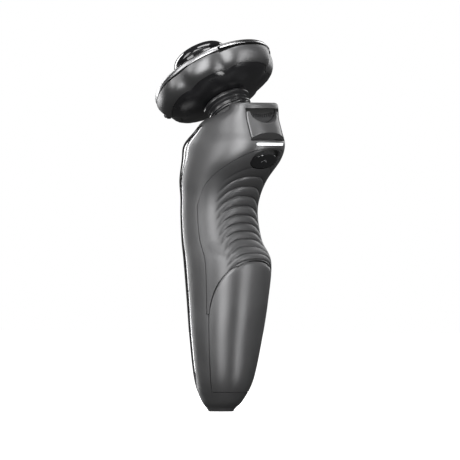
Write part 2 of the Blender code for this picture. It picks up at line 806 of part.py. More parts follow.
def make_central_gear(frame):
    gear = prism("central_gear", gear_outline(CENTRAL_TEETH, 0.0), GEAR_BOTTOM, GEAR_TOP, "white_plastic", frame)
    join(gear, rod("hub", 3.9, 9.0, GEAR_BOTTOM + 0.5, parent=frame, count=18))
    cup = turned(
        "coupling_cup", [(2.9, 0.4), (3.7, 0.4), (3.7, 8.7), (2.9, 8.7)], "white_plastic", frame, count=16,
    )
    return gear, cup


def make_cutter_gear(index, angle, frame):
    x, y = cutter_centre(angle)
    axis = joint_frame(f"gear_axis_{index}", (x, y, 0.0), parent=frame)
    direction = math.atan2(y, x)
    central_pitch = 2 * math.pi / CENTRAL_TEETH
    offset = -direction % central_pitch
    gap = direction + math.pi - offset * CENTRAL_TEETH / CUTTER_TEETH
    first_tooth = gap + math.pi / CUTTER_TEETH
    gear = prism(
        f"cutter_gear_{index}", gear_outline(CUTTER_TEETH, first_tooth), GEAR_BOTTOM, GEAR_TOP,
        "white_plastic", axis,
    )
    cut(gear, rod("bore", 1.5, GEAR_BOTTOM - 1, GEAR_TOP + 1, parent=axis, count=12))
    knob(
        f"cutter_spindle_{index}",
        [(1.2, 11.0), (1.2, 14.4), (2.0, 14.6), (2.0, 15.4), (1.2, 15.6), (1.2, 19.6)],
        "steel", axis, count=6,
    )
    return axis


def make_gear_plate(frame):
    plate = rod("gear_plate", 19.0, 11.0, 11.6, "steel", frame, count=24)
    cut(plate, rod("hole", 4.4, 10, 13, parent=frame, count=12))
    for angle in CUTTER_ANGLES:
        cut(plate, rod("hole", 1.6, 10, 13, parent=frame, centre=cutter_centre(angle), count=8))
    return plate


def release_arc(name, inner, outer, low, high, half_angle, parent, finish="dark_plastic"):
    """A piece of a ring at the back of the head."""
    steps = 10
    angles = [math.radians(-half_angle + 2 * half_angle * k / steps) for k in range(steps + 1)]
    outline = [(outer * math.sin(a), outer * math.cos(a)) for a in angles]
    outline += [(inner * math.sin(a), inner * math.cos(a)) for a in reversed(angles)]
    return prism(name, outline[::-1], low, high, finish, parent)


def make_chrome_frame(frame):
    plate = knob(
        "chrome_frame",
        [(28.3, FRAME_BOTTOM), (FRAME_RADIUS, FRAME_BOTTOM + 0.3), (FRAME_RADIUS, 20.0), (28.1, 20.7), (27.5, FRAME_TOP)],
        "chrome", frame, count=40,
    )
    join(plate, cross_rod("knuckle", 1.15, -2.6, 2.6, FRAME_BOTTOM - 0.1, -30.0, parent=frame, count=12))
    join(plate, block("arm", (-2.6, -30.4, FRAME_BOTTOM + 0.1), (2.6, -28.0, FRAME_BOTTOM + 0.9), parent=frame))
    cut(plate, cross_rod("hinge_hole", 0.75, -8, 8, FRAME_BOTTOM - 0.1, -30.0, parent=frame))
    for angle in CUTTER_ANGLES:
        cut(plate, rod("hole", POD_HOLE, 15, 25, parent=frame, centre=cutter_centre(angle), count=20))
    cut(plate, release_arc("pocket", 26.0, 30.0, 15.0, 19.9, 38.0, frame))
    return plate


def make_retaining_frame(frame):
    centres = [cutter_centre(angle) for angle in CUTTER_ANGLES]
    plate = rod("retaining_frame", 11.3, 17.0, 17.9, "dark_plastic", frame, centres[0], 16)
    for centre in centres[1:]:
        join(plate, rod("lobe", 11.3, 17.0, 17.9, parent=frame, centre=centre, count=16))
    join(plate, rod("middle", 6.0, 17.0, 17.9, parent=frame, count=12))
    for centre in centres:
        cut(plate, rod("hole", 7.0, 16, 19, parent=frame, centre=centre, count=12))
    return plate


def make_pod(index, angle, frame):
    x, y = cutter_centre(angle)
    axis = joint_frame(f"cutter_axis_{index}", (x, y, 0.0), parent=frame)
    turned(
        f"cutter_ring_{index}",
        [(9.8, 19.5), (POD_RADIUS, 19.5), (POD_RADIUS, 21.3), (11.6, 23.2), (10.4, 24.7), (9.9, 24.9)],
        "dark_plastic", axis, count=20,
    )
    turned(
        f"cutter_foil_{index}",
        [(9.5, 22.9), (9.5, 24.6), (9.0, FOIL_TOP), (5.4, FOIL_TOP), (1.5, 24.9), (1.5, 24.6), (8.7, 24.7), (8.8, 22.9)],
        "steel", axis, count=18,
    )
    rotor = turned(
        f"rotary_blade_{index}",
        [(1.9, 19.2), (3.0, 19.2), (3.0, 20.2), (8.4, 20.2), (8.4, 24.3), (6.2, 24.3), (6.2, 21.0), (1.9, 21.0)],
        "steel", axis, count=12,
    )
    for k in range(6):
        turn = 2 * math.pi * (k + 0.5) / 6
        slot = block("slot", (4.0, -1.0, 21.4), (10.0, 1.0, 26.0), parent=axis)
        slot.matrix_local = Matrix.Rotation(turn, 4, "Z")
        cut(rotor, slot)
    return axis


def make_lid(frame):
    make_chrome_frame(frame)
    make_retaining_frame(frame)
    release_arc("head_release_tab", 27.2, 28.8, 18.7, 19.6, 36.0, frame, "chrome")
    cross_rod("head_hinge_pin", 0.45, -5.6, 5.6, FRAME_BOTTOM - 0.1, -30.0, "steel", frame, 12)
    knob("head_centre_cap", [(1.5, FRAME_TOP + 0.3), (1.5, FRAME_TOP + 0.8), (1.1, FRAME_TOP + 1.0)], "dark_plastic", frame, count=18)


def make_bellows_upper(frame):
    return turned(
        "neck_bellows_upper",
        [(9.6, 3.7), (10.9, 3.7), (11.2, 4.5), (10.4, BOWL_BOTTOM - 0.3), (9.6, BOWL_BOTTOM - 0.3)],
        "soft_rubber", frame, count=20,
    )


# ---------------------------------------------------------------- trimmer

def make_trimmer():
    frame = joint_frame("trimmer_frame", TRIMMER_AXIS)

    def door_top(x):
        return DOOR_TOP - DOOR_DIP * (1 - (x / DOOR_HALF_WIDTH) ** 2)

    def door_outside(x, z):
        """The finger dish: the door's lower edge lies in from the skin, so it can swing."""
        dish = DISH_DEPTH + DISH_SLOPE * (z - DOOR_BOTTOM)
        return min(-0.1, dish - back_depth(x, z))

    def door_inside(x, z):
        return 25.9 - 0.4 * min(max((z - 127.0) / 0.8, 0.0), 1.0)

    door = face_panel(
        "trimmer_door", spread(-DOOR_HALF_WIDTH, DOOR_HALF_WIDTH, 10), lambda x: DOOR_BOTTOM, door_top,
        8, door_outside, door_inside, "satin_grey", frame,
    )
    cut(door, cross_rod("pin_hole", 0.65, -20, 20, 0.0, 0.0, parent=frame, count=12))
    cross_rod("trimmer_hinge_pin", 0.4, -PIN_HALF, PIN_HALF, TRIMMER_AXIS[2], TRIMMER_AXIS[1], "steel", None, 12)
    make_comb("trimmer_comb", 9.0, 24.55, 25.15, 129.5, 135.8, 14, frame, "steel")
    make_comb("trimmer_blade", 7.2, 23.7, 24.25, 130.2, 135.4, 11, frame, "steel")
    return frame


def make_comb(name, half, near, far, low, high, teeth, frame, finish):
    """A flat plate with a row of teeth along its upper edge."""
    pitch = 2 * half / teeth
    outline = [(-half, low), (half, low)]
    for k in range(teeth):
        right = half - k * pitch
        outline.append((right, high - 1.8))
        outline.append((right - 0.18 * pitch, high))
        outline.append((right - 0.42 * pitch, high))
        outline.append((right - 0.6 * pitch, high - 1.8))
    outline.append((-half, high - 1.8))
    shift = Vector(TRIMMER_AXIS)
    count = len(outline)
    points = [Vector((x, near, z)) - shift for x, z in outline]
    points += [Vector((x, far, z)) - shift for x, z in outline]
    faces = [tuple(range(count)), tuple(range(count, 2 * count))[::-1]]
    for k in range(count):
        following = (k + 1) % count
        faces.append((k, count + k, count + following, following))
    return solid(name, points, faces, finish, frame)


def make_release():
    xs = cosine_spread(0.0, RELEASE_HALF[0], 12)
    return face_panel(
        "trimmer_release", xs,
        lambda x: release_edge(x, 0.0, 0.0, -1) - 0.02,
        lambda x: release_edge(x, 0.0, 0.0, 1) + 0.02,
        3, -0.3, lambda x, z: back_depth(x, z) - 2.0, "gloss_black",
    )


# ---------------------------------------------------------------- assembly

def build_shaver():
    start_empty()
    make_rear_housing()
    make_front_cover()
    make_front_trim()
    make_grip()
    make_lower_rear_panel()
    make_light_bar()
    make_handle_insides()
    make_power_button()
    make_display_window()
    make_charging_socket()
    frame = neck_frame()
    make_neck(frame)
    make_gimbal(frame)
    make_drive(frame)
    make_head_base(frame)
    make_bellows_upper(frame)
    make_gear_plate(frame)
    make_central_gear(frame)
    make_lid(frame)
    for index, angle in enumerate(CUTTER_ANGLES, start=1):
        make_cutter_gear(index, angle, frame)
        make_pod(index, angle, frame)
    make_trimmer()
    make_release()


build_shaver()
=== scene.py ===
"""Looks of the rotary electric shaver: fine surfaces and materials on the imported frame.

Lengths are in millimetres and become metres when a mesh is made. The handle skin and the
neck frame repeat the design's own sections, so each piece lies where its solid does.
"""

import json
import math

import bmesh
import bpy
import numpy as np
from mathutils import Matrix, Vector

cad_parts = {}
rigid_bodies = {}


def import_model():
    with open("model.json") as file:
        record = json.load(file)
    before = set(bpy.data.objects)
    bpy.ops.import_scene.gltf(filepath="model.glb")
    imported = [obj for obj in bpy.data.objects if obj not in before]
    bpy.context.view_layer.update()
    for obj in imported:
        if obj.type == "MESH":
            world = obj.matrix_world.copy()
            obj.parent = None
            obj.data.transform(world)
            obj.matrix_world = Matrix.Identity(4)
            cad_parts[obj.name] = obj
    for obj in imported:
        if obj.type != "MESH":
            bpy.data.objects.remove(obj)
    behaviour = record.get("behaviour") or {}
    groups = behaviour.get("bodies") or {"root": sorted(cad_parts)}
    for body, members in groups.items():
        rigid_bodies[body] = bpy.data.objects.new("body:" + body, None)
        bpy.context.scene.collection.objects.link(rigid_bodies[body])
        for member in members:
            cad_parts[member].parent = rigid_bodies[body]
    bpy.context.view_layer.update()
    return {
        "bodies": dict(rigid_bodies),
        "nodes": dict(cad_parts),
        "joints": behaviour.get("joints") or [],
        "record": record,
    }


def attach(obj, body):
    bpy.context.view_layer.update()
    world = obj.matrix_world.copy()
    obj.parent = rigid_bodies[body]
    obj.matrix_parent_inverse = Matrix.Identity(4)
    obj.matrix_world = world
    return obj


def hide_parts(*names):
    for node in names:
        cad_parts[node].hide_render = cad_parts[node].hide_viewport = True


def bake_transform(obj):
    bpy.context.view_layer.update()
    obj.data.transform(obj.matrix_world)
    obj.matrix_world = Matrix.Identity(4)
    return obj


MM = 0.001
SMOOTH_ANGLE = math.radians(35)

# Handle skin: height, centre depth, half width and half depth of each level section.
HANDLE_SECTIONS = (
    (0.0, 0.6, 5.3, 5.1), (0.5, 0.6, 5.7, 5.4), (1.6, 0.6, 6.4, 6.1), (5.2, 1.3, 9.3, 8.8),
    (14.4, 2.3, 13.2, 12.3), (32.6, 3.5, 16.6, 14.7), (50.8, 4.5, 18.6, 16.7), (68.2, 4.5, 19.8, 18.1),
    (78.2, 1.0, 19.0, 15.9), (89.6, -0.6, 18.6, 15.0), (97.4, 0.0, 18.8, 15.6), (105.6, 1.9, 19.8, 18.1),
    (114.7, 6.8, 20.5, 22.0), (121.5, 8.7, 20.0, 23.3), (127.5, 11.0, 18.0, 19.8), (132.9, 13.4, 16.6, 15.6),
    (137.0, 19.8, 14.3, 8.2), (139.9, 20.6, 13.4, 7.0), (140.7, 20.8, 12.0, 5.8),
)
HANDLE_EXPONENT = 2.4
WALL = 3.4
SKIN = 1.3
RECESS = 2.15
BLOCK_Z = 121.0
CAVITY_LEVELS = (
    5.5, 9.0, 14.4, 32.6, 50.8, 68.2, 78.2, 89.6, 97.4, 102.0, 106.0, 110.0, 114.0, 118.0, BLOCK_Z,
)
MOTOR_BORE = 7.6
GAP = 0.3
# Steps over which the skin's slope is measured: degrees round it, and places along it.
ANGLE_STEP = 0.8
PLACE_STEP = 0.02

FRONT = -90.0
BACK = 90.0
COVER_HALF_ANGLE = 60.0
COVER_BOTTOM = 6.5
COVER_CORNER = 19.0
COVER_TOP = 130.0
COVER_THICKNESS = 2.2
WINDOW_DEPTH = 4.6
TRIM_GAP_ANGLE = 1.2
TRIM_ANGLE = 5.0
SEAM_SIDE_ANGLE = 14.0
SEAM_SIDE_Z = 44.0
SEAM_CORNER_ANGLE = 62.0
SEAM_CORNER_Z = 66.0
SEAM_BACK_Z = 68.5
GRIP_SIDE_ANGLE = 10.0
GRIP_SIDE_Z = 94.0
GRIP_BACK_Z = 119.6
SEAM_GAP = 0.6
SEAM_ROUNDNESS = 1.7
GRIP_TOP_FALL = 2.2
GRIP_TOP_ROUNDNESS = 1.5
PANEL_BOTTOM = 9.0

# Grip ribs: the lowest groove on the middle line, then its spacing and how that grows.
RIB_LOW = 69.6
RIB_STEP = 2.85
RIB_GROWTH = 0.085
RIB_COUNT = 11
RIB_DROOP = 6.3
RIB_REACH = 46.0
RIB_WAVE = 0.46
CREASE_DEPTH = 0.5
CREASE_WIDTH = 0.07

NECK_BASE = (0.0, 6.4, 136.8)
HEAD_TILT = math.radians(34.0)
NECK_BORE = 10.5
BASE_TOP = 18.0
FRAME_BOTTOM = 18.4
FRAME_TOP = 21.0
FRAME_RADIUS = 28.6
BASE_RADIUS = 28.9
LID_HINGE = (18.3, -30.0)
CUTTER_ANGLES = (60.0, 180.0, 300.0)
CUTTER_DISTANCE = 15.0
POD_HOLE = 12.3
# The guard's bars, and the rows of its profile that the slots between them open.
GUARD_BARS = 42
SLOTTED_ROWS = (3, 4, 10)
KNUCKLE_RADIUS = 1.15
# The head's side draws in by this much, at these angles in each third of a turn.
LOBE_DEPTH = 1.9
LOBE_WIDTH = 9.5
LOBE_VALLEYS = (38.0, 82.0)
TAB_HALF_ANGLE = 38.0

BAY_HALF_WIDTH = 11.2
BAY_OUTLINE = ((25.1, 123.25), (40.0, 123.25), (40.0, 138.2), (23.3, 138.2), (23.3, 128.2), (25.1, 128.2))
DOOR_HALF_WIDTH = 10.6
DOOR_BOTTOM = 124.2
DOOR_TOP = 136.6
DOOR_DIP = 5.2
DIP_HALF = 9.0
DISH_DEPTH = 28.7
DISH_SLOPE = 0.72
DISH_HALF = 8.6
DISH_HEIGHT = 5.4
RELEASE_Z = 114.0
RELEASE_HALF = (8.6, 3.1)
RELEASE_TRAVEL = 2.0
RELEASE_POCKET = 2.9
RELEASE_GAP = 0.4
LIGHT_BAR_Z = 121.78
LIGHT_BAR_HALF = (8.8, 0.56)
LIGHT_POCKET = ((-9.5, 120.85), (9.5, 122.7))
BUTTON_Z = 100.0
BUTTON_HOLE = 7.3
WINDOW_HALF = 5.0
WINDOW_LOW = 66.0
WINDOW_HIGH = 84.0
SOCKET_Z = 14.0
SOCKET_HALF = (3.7, 1.9)

# Studio: what the camera looks at, the camera, and the half side of the floor.
AIM = (-3.2, 3.2, 82.8)
CAMERA_AZIMUTH = 132.0
LENS = 900.0
SENSOR = 36.0
FRAME_WIDTH = 209.8
FLOOR_HALF = 3000.0
# Lights: name, azimuth, elevation, distance, size and power.
LIGHTS = (
    ("key", 128.0, 6.0, 640.0, (420.0, 760.0), 7.0),
    ("side", 78.0, 10.0, 640.0, (260.0, 560.0), 2.0),
    ("back strip", 199.0, 0.0, 620.0, (100.0, 700.0), 2.6),
    ("front", 2.0, 6.0, 640.0, (230.0, 700.0), 3.6),
    ("top", 150.0, 70.0, 620.0, (460.0, 300.0), 3.0),
    ("far fill", 275.0, 20.0, 700.0, (300.0, 420.0), 1.2),
)


# ---------------------------------------------------------------- handle skin

def handle_section(place):
    """Height, centre depth, half width and half depth at a place along the sections."""
    last = len(HANDLE_SECTIONS) - 1
    index = min(max(int(place), 0), last - 1)
    part = place - index
    rows = [HANDLE_SECTIONS[min(max(index + k, 0), last)] for k in (-1, 0, 1, 2)]
    values = []
    for a, b, c, d in zip(*rows):
        slope_in, slope_out = (c - a) / 2, (d - b) / 2
        cubic = 2 * b - 2 * c + slope_in + slope_out
        square = -3 * b + 3 * c - 2 * slope_in - slope_out
        values.append(((cubic * part + square) * part + slope_in) * part + b)
    return values


SAMPLES = np.linspace(0.0, len(HANDLE_SECTIONS) - 1.0, 3601)
SECTION_TABLE = np.array([handle_section(place) for place in SAMPLES])


def place_at(height):
    """The place along the sections where the handle has this height."""
    return float(np.interp(height, SECTION_TABLE[:, 0], SAMPLES))


def on_section(angle, place):
    height, centre, width, depth = handle_section(place)
    cosine, sine = math.cos(math.radians(angle)), math.sin(math.radians(angle))
    power = 2 / HANDLE_EXPONENT
    x = width * math.copysign(abs(cosine) ** power, cosine)
    y = centre + depth * math.copysign(abs(sine) ** power, sine)
    return Vector((x, y, height))


def skin(angle, place, offset=0.0):
    """A point on the handle skin, moved outward by an offset."""
    here = on_section(angle, place)
    if offset == 0.0:
        return here
    last = len(HANDLE_SECTIONS) - 1
    around = on_section(angle + ANGLE_STEP, place) - on_section(angle - ANGLE_STEP, place)
    above = on_section(angle, min(place + PLACE_STEP, last))
    upward = above - on_section(angle, max(place - PLACE_STEP, 0))
    return here + around.cross(upward).normalized() * offset


def skin_normals(points):
    """Outward normals of the skin at an array of points that lie on it."""
    heights = SECTION_TABLE[:, 0]
    slopes = np.gradient(SECTION_TABLE, axis=0) / np.gradient(heights)[:, None]
    z = points[:, 2]
    centre, width, depth = (np.interp(z, heights, SECTION_TABLE[:, k]) for k in (1, 2, 3))
    centre_run, width_run, depth_run = (np.interp(z, heights, slopes[:, k]) for k in (1, 2, 3))
    x, y = points[:, 0], points[:, 1] - centre
    power = HANDLE_EXPONENT
    along_x = np.sign(x) * np.abs(x) ** (power - 1) / width ** power
    along_y = np.sign(y) * np.abs(y) ** (power - 1) / depth ** power
    along_z = -np.abs(x) ** power / width ** (power + 1) * width_run
    along_z -= np.abs(y) ** power / depth ** (power + 1) * depth_run + along_y * centre_run
    normals = np.stack([along_x, along_y, along_z], axis=1)
    return normals / np.maximum(np.linalg.norm(normals, axis=1, keepdims=True), 1e-12)


def skin_share(points):
    """How close each point is to the skin: 0 on it, in shares of the section's size."""
    heights = SECTION_TABLE[:, 0]
    centre, width, depth = (np.interp(points[:, 2], heights, SECTION_TABLE[:, k]) for k in (1, 2, 3))
    power = HANDLE_EXPONENT
    across = np.abs(points[:, 0] / width) ** power + np.abs((points[:, 1] - centre) / depth) ** power
    return np.abs(across ** (1 / power) - 1)


def face_depth(x, height, side=1):
    """Depth of the rear (side 1) or front (side -1) skin at a distance from the middle."""
    _, centre, width, depth = handle_section(place_at(height))
    share = min(abs(x) / width, 0.98)
    return centre + side * depth * (1 - share ** HANDLE_EXPONENT) ** (1 / HANDLE_EXPONENT)


def cover_low(angle, half, drop):
    side = min(abs(angle - FRONT) / half, 1.0)
    return COVER_CORNER - (COVER_CORNER - COVER_BOTTOM + drop) * math.sqrt(1 - side * side)


def seam_height(angle):
    """Height of the seam between the grip and the lower rear panel."""
    side = abs(angle - BACK)
    corner = BACK - SEAM_CORNER_ANGLE
    edge = BACK - SEAM_SIDE_ANGLE
    if side <= corner:
        return SEAM_BACK_Z - (SEAM_BACK_Z - SEAM_CORNER_Z) * (side / corner) ** 2
    run = min((side - corner) / (edge - corner), 1.0)
    rise = (1 - run ** SEAM_ROUNDNESS) ** (1 / SEAM_ROUNDNESS)
    return SEAM_SIDE_Z + (SEAM_CORNER_Z - SEAM_SIDE_Z) * rise


def grip_top(angle):
    side = min(abs(angle - BACK) / (BACK - GRIP_SIDE_ANGLE), 1.0)
    rise = (1 - side ** GRIP_TOP_FALL) ** (1 / GRIP_TOP_ROUNDNESS)
    return GRIP_SIDE_Z + (GRIP_BACK_Z - GRIP_SIDE_Z) * rise


def release_edge(x, grow, rise, sign):
    side = min(abs(x) / (RELEASE_HALF[0] + grow), 1.0)
    return RELEASE_Z + rise + sign * (RELEASE_HALF[1] + grow) * math.sqrt(1 - side * side)


def spread(low, high, count):
    return [low + (high - low) * k / count for k in range(count + 1)]


def eased(low, high, count):
    """Numbers from low to high, closer together at both ends."""
    return [low + (high - low) * (0.5 - 0.5 * math.cos(math.pi * k / count)) for k in range(count + 1)]


def smooth_step(value, low, high):
    share = min(max((value - low) / (high - low), 0.0), 1.0)
    return share * share * (3 - 2 * share)


# ---------------------------------------------------------------- neck frame

NECK = Matrix.Translation(NECK_BASE) @ Matrix.Rotation(HEAD_TILT, 4, "X")


def in_world(point):
    """A point of the neck frame, in world millimetres."""
    return NECK @ Vector(point)


def as_is(point):
    return Vector(point)


def cutter_centre(angle):
    turn = math.radians(angle)
    return CUTTER_DISTANCE * math.sin(turn), CUTTER_DISTANCE * math.cos(turn)


# ---------------------------------------------------------------- meshes

def raw(name, points, faces, frame=as_is):
    """A mesh object from points in millimetres, with its faces turned outward."""
    mesh = bpy.data.meshes.new(name)
    mesh.from_pydata([frame(p) * MM for p in points], [], faces)
    work = bmesh.new()
    work.from_mesh(mesh)
    bmesh.ops.recalc_face_normals(work, faces=work.faces)
    work.to_mesh(mesh)
    work.free()
    mesh.shade_smooth()
    mesh.set_sharp_from_angle(angle=SMOOTH_ANGLE)
    obj = bpy.data.objects.new(name, mesh)
    bpy.context.scene.collection.objects.link(obj)
    return obj


def finished(obj, material, body, nodes=()):
    """Give a piece its material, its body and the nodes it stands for."""
    obj.data.materials.clear()
    obj.data.materials.append(material)
    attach(obj, body)
    if nodes:
        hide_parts(*nodes)
    return obj


def softened(obj, width, segments=2):
    """Round the sharp edges a little, as moulded pieces have."""
    step = obj.modifiers.new("rounded edges", "BEVEL")
    step.width = width * MM
    step.segments = segments
    step.limit_method = "ANGLE"
    step.angle_limit = SMOOTH_ANGLE
    step.harden_normals = True
    return obj


def plate(name, outer, inner, frame=as_is):
    """A closed plate between two equal grids of points (lists of columns)."""
    columns, rows = len(outer), len(outer[0])
    points = [p for column in outer for p in column] + [p for column in inner for p in column]
    shift = columns * rows
    faces = []
    for i in range(columns - 1):
        for j in range(rows - 1):
            quad = (i * rows + j, (i + 1) * rows + j, (i + 1) * rows + j + 1, i * rows + j + 1)
            faces.append(quad)
            faces.append(tuple(shift + k for k in quad[::-1]))
    rim = [i * rows for i in range(columns)]
    rim += [(columns - 1) * rows + j for j in range(1, rows)]
    rim += [i * rows + rows - 1 for i in range(columns - 2, -1, -1)]
    rim += list(range(rows - 2, 0, -1))
    for k, first in enumerate(rim):
        second = rim[(k + 1) % len(rim)]
        faces.append((second, first, shift + first, shift + second))
    return raw(name, points, faces, frame)


def skin_panel(name, angles, low, high, rows, outer, inner):
    """A plate on the handle skin; outer may be a function of angle and height."""
    outside, inside = [], []
    for angle in angles:
        heights = spread(low(angle), high(angle), rows)
        offsets = [outer(angle, z) if callable(outer) else outer for z in heights]
        outside.append([skin(angle, place_at(z), offset) for z, offset in zip(heights, offsets)])
        inside.append([skin(angle, place_at(z), inner) for z in heights])
    return plate(name, outside, inside)


def face_panel(name, xs, low, high, rows, outer, inner_depth, side=1):
    """A plate on the rear or front skin, laid out in x and z; outer is a function of x and z."""
    outside, inside = [], []
    for x in xs:
        levels = spread(low(x), high(x), rows)
        outside.append([(x, face_depth(x, z, side) + side * outer(x, z), z) for z in levels])
        inside.append([(x, inner_depth(x, z), z) for z in levels])
    return plate(name, outside, inside)


def level(amount):
    """An outer offset that is the same all over."""
    return lambda x, z: amount


def ring(name, profile, count, frame=as_is, centre=(0.0, 0.0), lobes=None, keep=None):
    """Turn a closed profile of (radius, height[, lobe scale]) points about the local z axis.

    The keep function can leave out faces by step and row, for slots.
    """
    rows = len(profile)
    points, faces = [], []
    for k in range(count):
        angle = 2 * math.pi * k / count
        draw_in = lobes(angle) if lobes else 0.0
        for corner in profile:
            radius = corner[0] - (draw_in * corner[2] if len(corner) > 2 else 0.0)
            x = centre[0] + radius * math.sin(angle)
            y = centre[1] + radius * math.cos(angle)
            points.append((x, y, corner[1]))
    for k in range(count):
        ahead = (k + 1) % count
        for row in range(rows):
            if keep and not keep(k, row):
                continue
            above = (row + 1) % rows
            faces.append((k * rows + row, ahead * rows + row, ahead * rows + above, k * rows + above))
    return raw(name, points, faces, frame)


def knob(name, profile, count, frame=as_is, centre=(0.0, 0.0)):
    """Turn an open profile, first point at the bottom, and cap it flat at both ends."""
    points, faces = [], []
    for radius, height in profile:
        for k in range(count):
            angle = 2 * math.pi * k / count
            x = centre[0] + radius * math.cos(angle)
            y = centre[1] + radius * math.sin(angle)
            points.append((x, y, height))
    rows = len(profile)
    faces = [tuple(range(count))[::-1], tuple(range((rows - 1) * count, rows * count))]
    for row in range(rows - 1):
        for k in range(count):
            ahead = (k + 1) % count
            low, high = row * count, (row + 1) * count
            faces.append((low + k, low + ahead, high + ahead, high + k))
    return raw(name, points, faces, frame)


def extruded(name, outline, near, far, order, frame=as_is):
    """Carry an outline along one axis; order puts (u, v, along) into x, y and z."""
    count = len(outline)
    points = [order(u, v, near) for u, v in outline] + [order(u, v, far) for u, v in outline]
    faces = [tuple(range(count)), tuple(range(count, 2 * count))[::-1]]
    for k in range(count):
        following = (k + 1) % count
        faces.append((k, count + k, count + following, following))
    return raw(name, points, faces, frame)


def along_x(u, v, t):
    return (t, u, v)


def along_y(u, v, t):
    return (u, t, v)


def along_z(u, v, t):
    return (u, v, t)


def circle(radius, count, centre=(0.0, 0.0)):
    step = 2 * math.pi / count
    return [
        (centre[0] + radius * math.cos(k * step), centre[1] + radius * math.sin(k * step))
        for k in range(count)
    ]


def rectangle(low, high):
    return [(low[0], low[1]), (high[0], low[1]), (high[0], high[1]), (low[0], high[1])]


def combine(obj, tool):
    """Cut a tool out of an object with an exact Boolean and discard the tool."""
    bpy.context.view_layer.update()
    step = obj.modifiers.new("combine", "BOOLEAN")
    step.object = tool
    step.operation = "DIFFERENCE"
    step.solver = "EXACT"
    graph = bpy.context.evaluated_depsgraph_get()
    mesh = bpy.data.meshes.new_from_object(obj.evaluated_get(graph))
    obj.modifiers.clear()
    obj.data = mesh
    bpy.data.objects.remove(tool, do_unlink=True)
    mesh.shade_smooth()
    mesh.set_sharp_from_angle(angle=SMOOTH_ANGLE)


def loft(name, places, offset, count, phase):
    """A closed body that follows the handle skin at an offset, with flat ends."""
    points = []
    for place in places:
        row = [skin(360 * (k + phase) / count, place, offset) for k in range(count)]
        if place in (places[0], places[-1]):
            height = handle_section(place)[0]
            row = [Vector((p.x, p.y, height)) for p in row]
        points += row
    faces = [tuple(range(count))[::-1], tuple(range((len(places) - 1) * count, len(places) * count))]
    for row in range(len(places) - 1):
        for k in range(count):
            ahead = (k + 1) % count
            low, high = row * count, (row + 1) * count
            faces.append((low + k, low + ahead, high + ahead, high + k))
    return raw(name, points, faces)


def shade_by_skin(obj):
    """Give the faces that lie on the handle skin the skin's own normals."""
    mesh = obj.data
    points = np.array([v.co for v in mesh.vertices]) / MM
    normals = skin_normals(points)
    share = skin_share(points)
    corners = [tuple(n.vector) for n in mesh.corner_normals]
    for face in mesh.polygons:
        flat = np.array(face.normal)
        for corner in face.loop_indices:
            index = mesh.loops[corner].vertex_index
            if share[index] < 0.002 and float(flat @ normals[index]) > 0.9:
                corners[corner] = tuple(normals[index])
    mesh.normals_split_custom_set(corners)


# ---------------------------------------------------------------- materials

def material(name, colour, roughness, metallic=0.0, coat=0.0, coat_roughness=0.1, spread_of=(0.04, 0.06),
             grain=(900.0, 0.012), blotch=60.0, stretch=(1.0, 1.0, 1.0)):
    """A surface whose colour and roughness wander a little and whose relief is a fine grain.

    spread_of is how far colour and roughness wander, grain is the relief's scale and
    depth in millimetres, and stretch draws the grain out along an axis.
    """
    made = bpy.data.materials.new(name)
    made.use_nodes = True
    nodes, links = made.node_tree.nodes, made.node_tree.links
    shader = nodes["Principled BSDF"]
    shader.inputs["Metallic"].default_value = metallic
    shader.inputs["Coat Weight"].default_value = coat
    shader.inputs["Coat Roughness"].default_value = coat_roughness
    place = nodes.new("ShaderNodeTexCoord")
    shape = nodes.new("ShaderNodeMapping")
    shape.inputs["Scale"].default_value = stretch
    links.new(place.outputs["Object"], shape.inputs["Vector"])

    broad = nodes.new("ShaderNodeTexNoise")
    broad.inputs["Scale"].default_value = blotch
    broad.inputs["Detail"].default_value = 4.0
    links.new(shape.outputs["Vector"], broad.inputs["Vector"])
    tint = nodes.new("ShaderNodeValToRGB")
    darker, lighter = (tuple(c * (1 + sign * spread_of[0]) for c in colour) for sign in (-1, 1))
    tint.color_ramp.elements[0].position = 0.3
    tint.color_ramp.elements[0].color = (*darker, 1.0)
    tint.color_ramp.elements[1].position = 0.7
    tint.color_ramp.elements[1].color = (*lighter, 1.0)
    links.new(broad.outputs["Fac"], tint.inputs["Fac"])
    links.new(tint.outputs["Color"], shader.inputs["Base Color"])

    rough = nodes.new("ShaderNodeMapRange")
    rough.inputs["From Min"].default_value = 0.3
    rough.inputs["From Max"].default_value = 0.7
    rough.inputs["To Min"].default_value = max(roughness - spread_of[1], 0.02)
    rough.inputs["To Max"].default_value = roughness + spread_of[1]
    links.new(broad.outputs["Fac"], rough.inputs["Value"])
    links.new(rough.outputs["Result"], shader.inputs["Roughness"])

    fine = nodes.new("ShaderNodeTexNoise")
    fine.inputs["Scale"].default_value = grain[0]
    fine.inputs["Detail"].default_value = 3.0
    links.new(shape.outputs["Vector"], fine.inputs["Vector"])
    relief = nodes.new("ShaderNodeBump")
    relief.inputs["Strength"].default_value = 0.6
    relief.inputs["Distance"].default_value = grain[1] * MM
    links.new(fine.outputs["Fac"], relief.inputs["Height"])
    links.new(relief.outputs["Normal"], shader.inputs["Normal"])
    return made


def glowing(name, colour, strength):
    made = material(name, colour, 0.25, spread_of=(0.02, 0.05))
    shader = made.node_tree.nodes["Principled BSDF"]
    shader.inputs["Emission Color"].default_value = (*colour, 1.0)
    shader.inputs["Emission Strength"].default_value = strength
    return made


